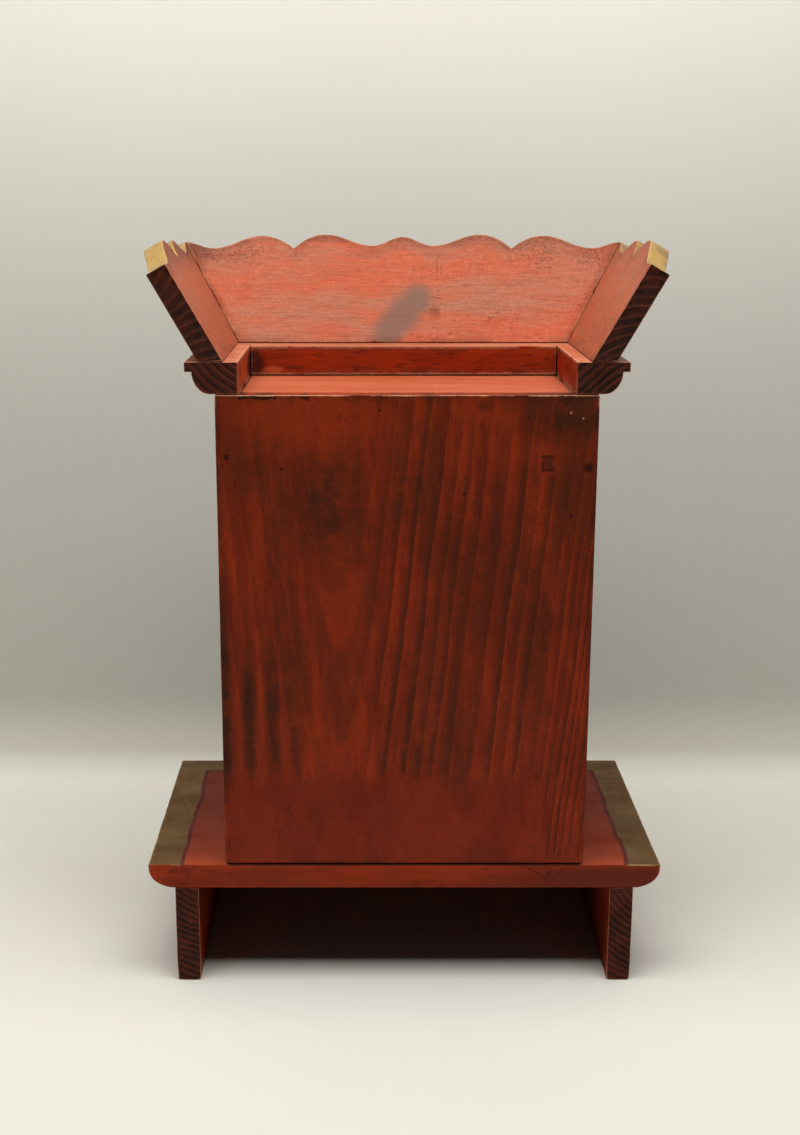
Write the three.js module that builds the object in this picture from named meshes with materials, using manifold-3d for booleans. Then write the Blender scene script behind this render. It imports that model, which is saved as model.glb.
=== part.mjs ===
// Household altar cabinet of painted and gilded boards.
// A box with an open front stands on a low moulded base. A cornice of three
// rails runs round its head, and three boards lean outward from the cornice,
// their upper edges cut in lobes and cusps. At the back every board is flush.
//
// Millimetres, +Z up. The front faces -Y. The origin is on the floor, under
// the middle of the base board.

import * as THREE from "three";
import { mergeVertices } from "three/addons/utils/BufferGeometryUtils.js";
import Module from "manifold-3d";

// ---------------------------------------------------------------- dimensions

const GAP = 0.3; // left between boards that touch

// Base
const BASE_WIDTH = 400;
const BASE_DEPTH = 226;
const BASE_TOP = 99.4;
const BASE_THICK = 19.5;
const BASE_LIP = 2.4; // square edge above the base moulding
const BASE_UNDERCUT = 17.5; // how far the moulding runs in under the board
const BASE_BELLY = 8; // how far down the moulding stays nearly upright
const LEG_OUTER = 179.6; // middle of the cabinet to a side board's outer face
const LEG_THICK = 18.7;
const LEG_ROUND = 2.5; // worn round at the foot of the side boards

// Box
const BODY_WIDTH = 279.2;
const BODY_DEPTH = 148.5;
const BODY_TOP = 466.5;
const WALL_THICK = 17.3;
const BACK_THICK = 17;
const TOP_THICK = 17;
const BACK_ROUND = 3; // worn round at the lower corners of the back

// Front frame
const FRAME_THICK = 14;
const STILE_WIDTH = 27;
const SILL_HEIGHT = 20;
const LINTEL_HEIGHT = 84; // at the brackets beside the stiles
const LINTEL_CLEAR = 40; // at the highest points of the arch

// Cornice
const RAIL_HEIGHT = 23.7;
const RAIL_REACH = 21.6; // how far the rails stand out past the box
const RAIL_FILLET = 7.3; // square edge at the top of a rail
const RAIL_STEP = 5.2; // set-back under that edge
const RAIL_LEDGE = 3.4; // flat beside the box before the moulding starts
const RAIL_BELLY = 7; // how far out the moulding stays nearly level
const FRONT_RAIL_INNER = 120; // back plane to the front rail's inner face

// Crown
const CROWN_THICK = 16.2;
const SIDE_LEAN = THREE.MathUtils.degToRad(29.7);
const FRONT_LEAN = THREE.MathUtils.degToRad(22.5);
const SIDE_FOOT = 132.6; // middle of the cabinet to a side board's inner foot
const FRONT_FOOT = 142; // back plane to the front board's inner foot
const CORNER_RISE = 79; // height of the two front corners over the cornice
const CREST_OVERRUN = 26; // left past each corner for the mitre to cut

const CURVE_STEPS = 7; // straight pieces in each curved stretch

// What follows from them
const BACK_PLANE = BASE_DEPTH / 2;
const BASE_UNDERSIDE = BASE_TOP - BASE_THICK;
const LEG_HEIGHT = BASE_UNDERSIDE - GAP;
const APRON_BACK = BASE_DEPTH - (BASE_WIDTH / 2 - LEG_OUTER) - LEG_THICK;
const BODY_FLOOR = BASE_TOP + GAP;
const BODY_HEIGHT = BODY_TOP - BODY_FLOOR;
const WALL_FRONT = BODY_DEPTH - FRAME_THICK - GAP;
const WALL_INNER = BODY_WIDTH / 2 - WALL_THICK;
const OPENING_HALF = BODY_WIDTH / 2 - STILE_WIDTH;
const RAIL_OUTER = BODY_WIDTH / 2 + RAIL_REACH;
const FRONT_RAIL_OUTER = BODY_DEPTH + RAIL_REACH;

// The crests are rows of turning points from the middle, or from the back end,
// to the front corner: how far along the board, and how high up its slope.
const FRONT_CREST = [
  { at: 0, height: 90 },
  { at: 24.5, height: 82.4 },
  { at: 63.3, height: 92 },
  { at: 89, height: 80, cusp: true },
  { at: 115, height: 91 },
  { at: 155, height: 80.3 },
  { at: SIDE_FOOT + CORNER_RISE * Math.tan(SIDE_LEAN), height: CORNER_RISE / Math.cos(FRONT_LEAN) },
];
const SIDE_CREST = [
  { at: 0, height: 80 },
  { at: 12, height: 80 },
  { at: 57, height: 97 },
  { at: 85, height: 81, cusp: true },
  { at: 107, height: 95 },
  { at: 142, height: 83 },
  { at: FRONT_FOOT + CORNER_RISE * Math.tan(FRONT_LEAN), height: CORNER_RISE / Math.cos(SIDE_LEAN) },
];

// The arch under the lintel is a row of turning points from the middle out: how
// far out, and how far down from the highest.
const LINTEL_EDGE = [
  { at: 0, drop: 7, cusp: true },
  { at: 26, drop: 0 },
  { at: 60, drop: 14, cusp: true },
  { at: 84, drop: 8 },
  { at: 99, drop: 26, cusp: true },
  { at: OPENING_HALF - GAP, drop: LINTEL_HEIGHT - LINTEL_CLEAR },
];

// ----------------------------------------------------------------- materials

const finish = (color, roughness, metalness = 0) =>
  new THREE.MeshStandardMaterial({ color, roughness, metalness });

const redPaint = () => finish(0x8a3016, 0.6);
const fadedPaint = () => finish(0xc4684a, 0.7);
const bronzePaint = () => finish(0x6e5430, 0.5, 0.3);

// ------------------------------------------------------- joining and cutting

const wasm = await Module();
wasm.setup();

function toSolid(geometry) {
  const bare = geometry.clone();
  bare.deleteAttribute("normal");
  bare.deleteAttribute("uv");
  const merged = mergeVertices(bare);
  return new wasm.Manifold(
    new wasm.Mesh({
      numProp: 3,
      vertProperties: new Float32Array(merged.attributes.position.array),
      triVerts: new Uint32Array(merged.index.array),
    }),
  );
}

function toGeometry(solid) {
  const mesh = solid.getMesh();
  const geometry = new THREE.BufferGeometry();
  geometry.setAttribute("position", new THREE.BufferAttribute(mesh.vertProperties, 3));
  geometry.setIndex(new THREE.BufferAttribute(mesh.triVerts, 1));
  geometry.computeVertexNormals();
  return geometry;
}

function common(first, second) {
  return toGeometry(toSolid(first).intersect(toSolid(second)));
}

function cutAway(geometry, cutters) {
  const cut = (solid, cutter) => solid.subtract(toSolid(cutter));
  return toGeometry(cutters.reduce(cut, toSolid(geometry)));
}

// ------------------------------------------------------------ shared helpers

const ACROSS = new THREE.Vector3(1, 0, 0);
const FORWARD = new THREE.Vector3(0, -1, 0);
const UP = new THREE.Vector3(0, 0, 1);
const SIDES = [
  { side: "left", sign: -1 },
  { side: "right", sign: 1 },
];

const point = (x, y) => new THREE.Vector2(x, y);

// Draws a shape out. Its x and y lie along the two directions given, and the
// third, right-handed to them, is the way it is drawn.
function extrudeOn(shape, xAxis, yAxis, depth) {
  const geometry = new THREE.ExtrudeGeometry(shape, {
    depth,
    bevelEnabled: false,
    curveSegments: CURVE_STEPS,
  });
  const out = new THREE.Vector3().crossVectors(xAxis, yAxis);
  return geometry.applyMatrix4(new THREE.Matrix4().makeBasis(xAxis, yAxis, out));
}

// A section seen from the front, run forward from the back plane.
const runForward = (shape, length) => extrudeOn(shape, ACROSS, UP, length);

// A section seen from the side, run across between two ends.
const runAcross = (shape, half) => extrudeOn(shape, FORWARD, UP, 2 * half).translate(half, 0, 0);

// A box between two places each way. Back and front are measured forward.
function block(left, right, back, front, bottom, top) {
  const corners = [point(left, bottom), point(right, bottom), point(right, top), point(left, top)];
  return runForward(new THREE.Shape(corners), front - back).translate(0, -back, 0);
}

// The end of a board whose two lower corners are rounded.
function roundedEnd(width, height, round) {
  const half = width / 2;
  const shape = new THREE.Shape();
  shape.moveTo(-half, height);
  shape.lineTo(-half, round);
  shape.quadraticCurveTo(-half, 0, round - half, 0);
  shape.lineTo(half - round, 0);
  shape.quadraticCurveTo(half, 0, half, round);
  shape.lineTo(half, height);
  shape.closePath();
  return shape;
}

function piece(name, geometry, material) {
  const mesh = new THREE.Mesh(geometry, material);
  mesh.name = name;
  return mesh;
}

function placed(y, z, ...members) {
  const group = new THREE.Group();
  group.position.set(0, y, z);
  group.add(...members);
  return group;
}

// Adds the mirror image of a row of points, so that it runs from side to side.
function mirrored(points) {
  const others = points.filter(({ x }) => x > 0).map(({ x, y }) => point(-x, y));
  return [...others.reverse(), ...points];
}

// A block whose front and two ends are moulded alike and meet in mitres. The
// edge gives the moulding's points from its foot up, for a given reach.
function mouldedBlock(edge, half, depth, bottom, top) {
  const across = new THREE.Shape(mirrored(edge(half)));
  const forward = new THREE.Shape([point(0, bottom), ...edge(depth), point(0, top)]);
  return common(runForward(across, depth), runAcross(forward, half));
}

// ------------------------------------------------- lobed and cusped outlines

// Height between two turning points. Next to a cusp the curve is a parabola,
// steep at the cusp; anywhere else it eases out of one point into the other.
function heightBetween(from, to, fraction) {
  const rise = to.height - from.height;
  if (to.cusp) return from.height + rise * fraction ** 2;
  if (from.cusp) return to.height - rise * (1 - fraction) ** 2;
  return from.height + (rise * (1 - Math.cos(Math.PI * fraction))) / 2;
}

function curvePoints(turns) {
  const points = [point(turns[0].at, turns[0].height)];
  turns.slice(1).forEach((to, index) => {
    const from = turns[index];
    const steps = from.height === to.height ? 1 : CURVE_STEPS;
    for (let step = 1; step <= steps; step += 1) {
      const fraction = step / steps;
      const along = THREE.MathUtils.lerp(from.at, to.at, fraction);
      points.push(point(along, heightBetween(from, to, fraction)));
    }
  });
  return points;
}

// The crest with a level stretch past its last point.
function crestPoints(turns) {
  const corner = turns[turns.length - 1];
  return curvePoints([...turns, { at: corner.at + CREST_OVERRUN, height: corner.height }]);
}

// The arch, measured down from the top of the lintel.
function archPoints(turns) {
  return curvePoints(turns.map((turn) => ({ ...turn, height: -LINTEL_CLEAR - turn.drop })));
}

// A board between a curved edge and a straight one at height nought.
function boardOutline(points) {
  const [first, last] = [points[0], points[points.length - 1]];
  return new THREE.Shape([...points, point(last.x, 0), point(first.x, 0)]);
}

// ---------------------------------------------------------------------- base

function baseEdge(reach) {
  const lip = BASE_TOP - BASE_LIP;
  const foot = reach - BASE_UNDERCUT;
  const ovolo = new THREE.CubicBezierCurve(
    point(foot, BASE_UNDERSIDE),
    point(reach - BASE_UNDERCUT / 4, BASE_UNDERSIDE + BASE_LIP),
    point(reach, lip - BASE_BELLY),
    point(reach, lip),
  );
  return [...ovolo.getPoints(CURVE_STEPS), point(reach, BASE_TOP)];
}

function baseBoard() {
  const board = mouldedBlock(baseEdge, BASE_WIDTH / 2, BASE_DEPTH, BASE_UNDERSIDE, BASE_TOP);
  return piece("base_board", board, bronzePaint());
}

function baseSide({ side, sign }) {
  const section = roundedEnd(LEG_THICK, LEG_HEIGHT, LEG_ROUND);
  const board = piece(`base_side_${side}`, runForward(section, APRON_BACK - GAP), redPaint());
  board.position.x = sign * (LEG_OUTER - LEG_THICK / 2);
  return board;
}

function baseApron() {
  const section = roundedEnd(2 * LEG_OUTER, LEG_HEIGHT, LEG_ROUND);
  const board = piece("base_apron", runForward(section, LEG_THICK), redPaint());
  board.position.y = -APRON_BACK;
  return board;
}

// ----------------------------------------------------------------------- box

function backPanel() {
  const section = roundedEnd(BODY_WIDTH, BODY_HEIGHT, BACK_ROUND);
  return piece("back_panel", runForward(section, BACK_THICK), redPaint());
}

function sidePanel({ side, sign }) {
  const half = WALL_THICK / 2;
  const wall = block(-half, half, BACK_THICK + GAP, WALL_FRONT, 0, BODY_HEIGHT);
  const mesh = piece(`side_panel_${side}`, wall, redPaint());
  mesh.position.x = sign * (WALL_INNER + half);
  return mesh;
}

function topBoard() {
  const half = WALL_INNER - GAP;
  const board = block(-half, half, BACK_THICK + GAP, WALL_FRONT, -TOP_THICK, 0);
  const mesh = piece("top_board", board, fadedPaint());
  mesh.position.z = BODY_HEIGHT;
  return mesh;
}

function frontStile({ side, sign }) {
  const half = STILE_WIDTH / 2;
  const mesh = piece(`front_stile_${side}`, block(-half, half, 0, FRAME_THICK, 0, BODY_HEIGHT), redPaint());
  mesh.position.x = sign * (OPENING_HALF + half);
  return mesh;
}

function frontLintel() {
  const outline = boardOutline(mirrored(archPoints(LINTEL_EDGE)));
  const mesh = piece("front_lintel", runForward(outline, FRAME_THICK), redPaint());
  mesh.position.z = BODY_HEIGHT;
  return mesh;
}

function frontSill() {
  const half = OPENING_HALF - GAP;
  return piece("front_sill", block(-half, half, 0, FRAME_THICK, 0, SILL_HEIGHT), redPaint());
}

// ------------------------------------------------------------------- cornice

function railEdge(reach) {
  const step = reach - RAIL_STEP;
  const foot = reach - RAIL_REACH + RAIL_LEDGE;
  const fillet = RAIL_HEIGHT - RAIL_FILLET;
  const ovolo = new THREE.CubicBezierCurve(
    point(foot, GAP),
    point(foot + RAIL_BELLY, GAP),
    point(step, fillet / 2),
    point(step, fillet),
  );
  return [...ovolo.getPoints(CURVE_STEPS), point(reach, fillet), point(reach, RAIL_HEIGHT)];
}

// The front rail's share of the cornice seen from above: mitred from the outer
// corners to the side rails' inner faces, straight inside them.
function frontRailPlan(shrink) {
  const inner = WALL_INNER - shrink;
  const mitreEnd = FRONT_RAIL_OUTER - (RAIL_OUTER - WALL_INNER);
  const beyond = FRONT_RAIL_OUTER + RAIL_REACH;
  const half = [
    point(inner, -FRONT_RAIL_INNER),
    point(inner, -mitreEnd),
    point(inner + beyond - mitreEnd, -beyond),
  ];
  const plan = new THREE.Shape(mirrored(half));
  return new THREE.ExtrudeGeometry(plan, { depth: RAIL_HEIGHT, bevelEnabled: false });
}

function corniceRails() {
  const whole = mouldedBlock(railEdge, RAIL_OUTER, FRONT_RAIL_OUTER, GAP, RAIL_HEIGHT);
  const front = common(whole, frontRailPlan(GAP * Math.SQRT2));
  const well = block(-WALL_INNER, WALL_INNER, -GAP, FRONT_RAIL_OUTER, -GAP, BODY_TOP);
  const sideRails = SIDES.map(({ side, sign }) => {
    const [left, right] = sign > 0 ? [-BASE_WIDTH, 0] : [0, BASE_WIDTH];
    const otherSide = block(left, right, -GAP, BASE_DEPTH, -GAP, BODY_TOP);
    const rail = cutAway(whole, [well, frontRailPlan(0), otherSide]);
    return piece(`cornice_${side}`, rail, redPaint());
  });
  return [piece("cornice_front", front, redPaint()), ...sideRails];
}

// --------------------------------------------------------------------- crown

// A thick slab with one face through a point. It lies where the normal points,
// and one of its edges runs along the second direction.
function slabBeyond(start, normal, along) {
  const size = BASE_WIDTH;
  const third = new THREE.Vector3().crossVectors(normal, along);
  const slab = new THREE.BoxGeometry(size, size, size);
  slab.applyMatrix4(new THREE.Matrix4().makeBasis(normal, along, third));
  const centre = start.clone().addScaledVector(normal, size / 2);
  return slab.translate(centre.x, centre.y, centre.z);
}

// What the mitre with the neighbouring board takes away. The mitre holds the
// line where the inner faces meet and the line where the outer faces meet.
// Towards is 1 when the front board is cut and -1 when a side board is.
function mitreCut(sign, towards) {
  const risingLine = new THREE.Vector3(sign * Math.tan(SIDE_LEAN), -Math.tan(FRONT_LEAN), 1);
  const outward = new THREE.Vector3(sign / Math.cos(SIDE_LEAN), -1 / Math.cos(FRONT_LEAN), 0);
  const normal = new THREE.Vector3().crossVectors(risingLine, outward).normalize();
  normal.multiplyScalar(towards * Math.sign(normal.x) * sign);
  const start = new THREE.Vector3(sign * SIDE_FOOT, -FRONT_FOOT, 0);
  start.addScaledVector(normal, -GAP / 2);
  return slabBeyond(start, normal, risingLine.normalize());
}

const belowCornice = () => slabBeyond(new THREE.Vector3(), UP.clone().negate(), ACROSS);

function crownFront() {
  const slope = new THREE.Vector3(0, -Math.sin(FRONT_LEAN), Math.cos(FRONT_LEAN));
  const outline = boardOutline(mirrored(crestPoints(FRONT_CREST)));
  const board = extrudeOn(outline, ACROSS, slope, CROWN_THICK).translate(0, -FRONT_FOOT, 0);
  const mitres = SIDES.map(({ sign }) => mitreCut(sign, 1));
  return piece("crown_front", cutAway(board, [...mitres, belowCornice()]), fadedPaint());
}

// The left board's outline runs forward and the right one's backward, so that
// both are drawn outward.
function crownSide({ side, sign }) {
  const slope = new THREE.Vector3(sign * Math.sin(SIDE_LEAN), 0, Math.cos(SIDE_LEAN));
  const along = FORWARD.clone().multiplyScalar(-sign);
  const crest = crestPoints(SIDE_CREST).map(({ x, y }) => point(-sign * x, y));
  const board = extrudeOn(boardOutline(crest), along, slope, CROWN_THICK);
  board.translate(sign * SIDE_FOOT, 0, 0);
  return piece(`crown_${side}`, cutAway(board, [mitreCut(sign, -1), belowCornice()]), fadedPaint());
}

// ------------------------------------------------------------------- cabinet

const frame = placed(FRAME_THICK - BODY_DEPTH, 0, ...SIDES.map(frontStile), frontLintel(), frontSill());

const cabinet = new THREE.Group();
cabinet.add(
  placed(BACK_PLANE, 0, baseBoard(), ...SIDES.map(baseSide), baseApron()),
  placed(BACK_PLANE, BODY_FLOOR, backPanel(), ...SIDES.map(sidePanel), topBoard(), frame),
  placed(BACK_PLANE, BODY_TOP, ...corniceRails()),
  placed(BACK_PLANE, BODY_TOP + RAIL_HEIGHT + GAP, crownFront(), ...SIDES.map(crownSide)),
);

export default cabinet;
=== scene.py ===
"""Household altar cabinet of painted, gilded and soot-darkened boards.

The file is laid out as a Blender add-on and is run as a script. Every board is
built in metres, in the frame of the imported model, and stands for its own node.
"""

import math

import bmesh
import bpy
import numpy as np
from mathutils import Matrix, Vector


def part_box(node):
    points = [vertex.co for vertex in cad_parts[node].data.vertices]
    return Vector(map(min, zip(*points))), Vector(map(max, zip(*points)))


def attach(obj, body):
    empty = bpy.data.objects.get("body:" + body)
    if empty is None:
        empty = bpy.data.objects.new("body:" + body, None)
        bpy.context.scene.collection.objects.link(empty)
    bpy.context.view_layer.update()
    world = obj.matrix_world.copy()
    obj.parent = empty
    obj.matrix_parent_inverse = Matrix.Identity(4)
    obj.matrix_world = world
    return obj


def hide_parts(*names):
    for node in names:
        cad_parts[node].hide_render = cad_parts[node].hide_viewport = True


bl_info = {
    "name": "Household altar cabinet",
    "version": (1, 0, 0),
    "blender": (4, 5, 0),
    "location": "3D View > Sidebar > Altar cabinet",
    "description": "Builds a worn household altar cabinet, board by board",
    "category": "Object",
}

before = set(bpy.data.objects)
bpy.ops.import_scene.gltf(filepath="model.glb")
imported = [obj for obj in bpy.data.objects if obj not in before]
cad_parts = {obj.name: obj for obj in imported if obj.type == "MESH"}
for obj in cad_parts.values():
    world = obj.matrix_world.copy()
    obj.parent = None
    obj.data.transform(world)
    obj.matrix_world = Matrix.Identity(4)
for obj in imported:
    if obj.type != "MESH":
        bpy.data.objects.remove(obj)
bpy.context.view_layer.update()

MM = 0.001
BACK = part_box("back_panel")[1].y  # every board is flush with this plane
NEARLY_NOTHING = 1e-9  # keeps a division by a length safe
UNGILDED = 1.0  # a point's distance from a gilded edge, on a board that has none
HALF_WIDTH, HALF_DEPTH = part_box("base_board")[1].xy  # the base board is the widest and deepest

# Where the camera stands, how far it looks down, and its lens.
CAMERA_PLACE = (0.0282, 1.2165, 0.6107)
CAMERA_DIP = 13.87
CAMERA_LENS = 48.55
CAMERA_SHIFT = 0.028

# Turning points of the lobed crests, from the middle or the back end to the
# front corner: how far along, how high up the slope, and whether it is a cusp.
FRONT_CREST = (
    (0, 90, False),
    (24.5, 82.4, False),
    (63.3, 92, False),
    (89, 80, True),
    (115, 91, False),
    (155, 80.3, False),
)
SIDE_CREST = (
    (0, 80, False),
    (12, 80, False),
    (57, 97, False),
    (85, 81, True),
    (107, 95, False),
    (142, 83, False),
)
# Turning points of the arch, from the middle out: how far out, and how far down
# from its highest point.
ARCH = ((0, 7, True), (26, 0, False), (60, 14, True), (84, 8, False), (99, 26, True), (112.3, 44, False))
# Distances of the back board's hard rings from the log's heart line.
RINGS = (0, 9, 21, 33, 47, 57, 66, 77, 94, 108, 118, 128, 141, 149, 156, 162, 167, 172, 178, 186, 196)


def ink(code):
    """A colour written as six hex digits, as the linear numbers that shaders take."""
    parts = [int(code[i : i + 2], 16) / 255 for i in (0, 2, 4)]
    return tuple(c / 12.92 if c <= 0.04045 else ((c + 0.055) / 1.055) ** 2.4 for c in parts)


def tint(value):
    """A colour's numbers from its six hex digits; anything else stays as it is."""
    return ink(value) if isinstance(value, str) else value


def colour(name, description, code):
    return bpy.props.FloatVectorProperty(
        name=name, description=description, default=ink(code), subtype="COLOR", size=3, min=0.0, max=1.0
    )


def length(name, description, millimetres):
    return bpy.props.FloatProperty(
        name=name, description=description, default=millimetres * MM, unit="LENGTH", precision=5, min=0.0
    )


def angle(name, description, degrees):
    return bpy.props.FloatProperty(
        name=name, description=description, default=math.radians(degrees), subtype="ANGLE", min=0.0, max=1.2
    )


# ------------------------------------------------------------------ settings


class CabinetSizes(bpy.types.PropertyGroup):
    """Sizes of the boards and mouldings that their nodes' boxes don't give."""

    mesh_step: length("Mesh step", "Distance between the rows of points on a board", 2.6)
    arris: length("Arris radius", "How round a board's long edges have worn", 0.9)
    foot_round: length("Foot radius", "How round the lowest corners have worn", 2.5)
    base_lip: length("Base lip", "Square edge above the base moulding", 2.4)
    base_undercut: length("Base undercut", "How far the base moulding runs in under the board", 17.5)
    base_belly: length("Base belly", "How far down the base moulding stays upright", 8.0)
    rail_fillet: length("Rail fillet", "Square edge at the top of a cornice rail", 7.3)
    rail_step: length("Rail step", "Set-back under the fillet", 5.2)
    rail_ledge: length("Rail ledge", "Flat beside the box before the moulding starts", 3.4)
    rail_belly: length("Rail belly", "How far out the moulding stays nearly level", 7.0)
    crown_thickness: length("Crown thickness", "Thickness of the three leaning boards", 16.2)
    crown_side_foot: length("Side foot", "Middle of the cabinet to a side board's inner foot", 132.6)
    crown_front_foot: length("Front foot", "Back plane to the front board's inner foot", 142.0)
    corner_rise: length("Corner rise", "Height of the front corners over the cornice", 79.0)
    side_lean: angle("Side lean", "How far the side boards lean out", 29.7)
    front_lean: angle("Front lean", "How far the front board leans out", 22.5)


class CabinetWear(bpy.types.PropertyGroup):
    """How far the boards have moved, chipped and weathered."""

    waver: length("Waver", "Depth of the slow hollows left by the plane", 0.30)
    waver_size: length("Waver size", "Distance between two hollows", 60.0)
    nick_depth: length("Nick depth", "Depth of the knocks along the arrises", 1.1)
    nick_size: length("Nick size", "Usual length of a knock", 7.0)
    ridge_depth: length("Ridge depth", "Height of the hard rings on bare end grain", 0.45)


class CabinetFinish(bpy.types.PropertyGroup):
    """Colours of the paint, soot, gilding and bare wood."""

    red: colour("Red paint", "Sound red paint", "a63212")
    bright_red: colour("Bright red", "Paint rubbed clean along the hard rings", "b93d15")
    deep_red: colour("Deep red", "Paint darkened by age", "6c2010")
    soot: colour("Soot", "Soot and handling on the paint", "44200f")
    salmon: colour("Salmon", "Faded paint that faces the light", "b57c63")
    orange: colour("Orange", "Faded paint that kept its strength", "b8552f")
    dust: colour("Dust", "Dust and chalked paint on the arrises", "bd8a68")
    smoke: colour("Smoke", "Grey smoke stain", "7a6457")
    bronze: colour("Bronze", "Bronze paint of the base margin", "7c5f38")
    gold: colour("Gold", "Dull gilding of the crest", "b99a58")
    line: colour("Margin line", "Dark line between margin and field", "4e1a1c")
    bare: colour("Bare end grain", "Dark bare end grain", "381a0f")
    ring: colour("Hard rings", "Reddish hard rings on the end grain", "7a341d")
    floor: colour("Floor", "Plain studio paper", "e9e7de")


# ----------------------------------------------------------- node tree helpers


def feed(tree, socket, value):
    """Links a socket to another, or gives it a plain value."""
    if isinstance(value, bpy.types.NodeSocket):
        tree.links.new(value, socket)
    elif socket.type == "RGBA" and len(value) == 3:
        socket.default_value = (*value, 1.0)
    else:
        socket.default_value = value


class Sheet:
    """A node tree that is being drawn up, with short words for its common nodes."""

    def __init__(self, tree):
        self.tree = tree

    def node(self, kind, inputs=None, **settings):
        made = self.tree.nodes.new(kind)
        for name, value in settings.items():
            setattr(made, name, value)
        for key, value in (inputs or {}).items():
            feed(self.tree, made.inputs[key], value)
        return made

    def math(self, operation, *values, clamp=False):
        return self.node(
            "ShaderNodeMath", dict(enumerate(values)), operation=operation, use_clamp=clamp
        ).outputs[0]

    def vector(self, operation, *values, out=0):
        return self.node("ShaderNodeVectorMath", dict(enumerate(values)), operation=operation).outputs[out]

    def split(self, vector):
        return self.node("ShaderNodeSeparateXYZ", {0: vector}).outputs

    def join(self, x, y, z):
        return self.node("ShaderNodeCombineXYZ", {0: x, 1: y, 2: z}).outputs[0]

    def fade(self, value, start, stop):
        """0 at start, 1 at stop, eased between them."""
        made = self.node(
            "ShaderNodeMapRange", {
                "Value": value, "From Min": start, "From Max": stop
            }, interpolation_type="SMOOTHSTEP"
        )
        return made.outputs[0]

    def band(self, value, start, stop, soft):
        """1 between start and stop, and 0 outside them."""
        return self.math(
            "MULTIPLY",
            self.fade(value, start - soft, start + soft),
            self.fade(value, stop + soft, stop - soft),
        )

    def chain(self, operation, values):
        """One operation over any number of values, from the left."""
        result = values[0]
        for value in values[1:]:
            result = self.math(operation, result, value)
        return result

    def times(self, *values):
        return self.chain("MULTIPLY", values)

    def plus(self, *values):
        return self.chain("ADD", values)

    def most(self, *values):
        return self.chain("MAXIMUM", values)

    def less(self, value, taken):
        return self.math("SUBTRACT", value, taken)

    def over(self, value, divisor):
        return self.math("DIVIDE", value, divisor)

    def size(self, value):
        return self.math("ABSOLUTE", value)

    def sway(self, noise, reach):
        """A noise that swings about nothing."""
        return self.times(self.less(noise, 0.5), reach)

    def noise(self, vector, scale, detail=2.0, roughness=0.5, distortion=0.0):
        inputs = {
            "Vector": vector,
            "Scale": scale,
            "Detail": detail,
            "Roughness": roughness,
            "Distortion": distortion,
        }
        return self.node("ShaderNodeTexNoise", inputs).outputs[0]

    def stretched(self, vector, scale, place=(0.0, 0.0, 0.0)):
        return self.node(
            "ShaderNodeMapping", {"Vector": vector, "Scale": scale, "Location": place}
        ).outputs[0]

    def drawn(self, vector, scale, *noise):
        """Noise drawn out along the axes whose scale is small."""
        return self.noise(self.stretched(vector, scale), *noise)

    def mix(self, amount, under, over):
        return self.node(
            "ShaderNodeMix", {0: amount, 6: tint(under), 7: tint(over)}, data_type="RGBA"
        ).outputs[2]

    def coat(self, under, over, *amounts):
        """Lays a colour over another, as strongly as the product of the amounts."""
        return self.mix(self.times(*amounts), under, over)

    def use(self, group, **inputs):
        made = self.node(self.tree.bl_idname.replace("Tree", "Group"), node_tree=group)
        for name, value in inputs.items():
            feed(self.tree, made.inputs[name.replace("_", " ").capitalize()], value)
        return made.outputs


def new_tree(name, kind, inputs, outputs):
    """A node group with named sockets. Returns the tree, a sheet on it and the input sockets by name.

    An input is given as its default, or as the kind of a socket that has none."""
    tree = bpy.data.node_groups.new(name, kind)
    for label, default in inputs.items():
        socket = default if isinstance(default, str) else "Vector" if isinstance(default, tuple) else "Float"
        item = tree.interface.new_socket(name=label, in_out="INPUT", socket_type=f"NodeSocket{socket}")
        if default is not socket:
            item.default_value = default
    result = "Geometry" if kind == "GeometryNodeTree" else "Float"
    for label in outputs:
        tree.interface.new_socket(name=label, in_out="OUTPUT", socket_type=f"NodeSocket{result}")
    entry = tree.nodes.new("NodeGroupInput")
    return tree, Sheet(tree), {s.name: s for s in entry.outputs if s.name}


def close_tree(tree, **outputs):
    leave = tree.nodes.new("NodeGroupOutput")
    for name, value in outputs.items():
        tree.links.new(value, leave.inputs[name.replace("_", " ").capitalize()])


def ring_phase(sheet, grain, spacing, waver):
    """Year rings round the log's heart: 1 on a hard ring, 0 midway between two."""
    u, v, along = sheet.split(grain)
    radius = sheet.math("SQRT", sheet.plus(sheet.times(u, u), sheet.times(v, v)))
    drift = sheet.noise(sheet.join(u, v, sheet.times(along, 0.12)), 28.0, 2.0)
    wavy = sheet.plus(radius, sheet.sway(drift, waver))
    turn = sheet.math("FRACT", sheet.over(wavy, spacing))
    return sheet.size(sheet.less(sheet.times(turn, 2.0), 1.0))


# -------------------------------------------------------- shared surface effects


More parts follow.
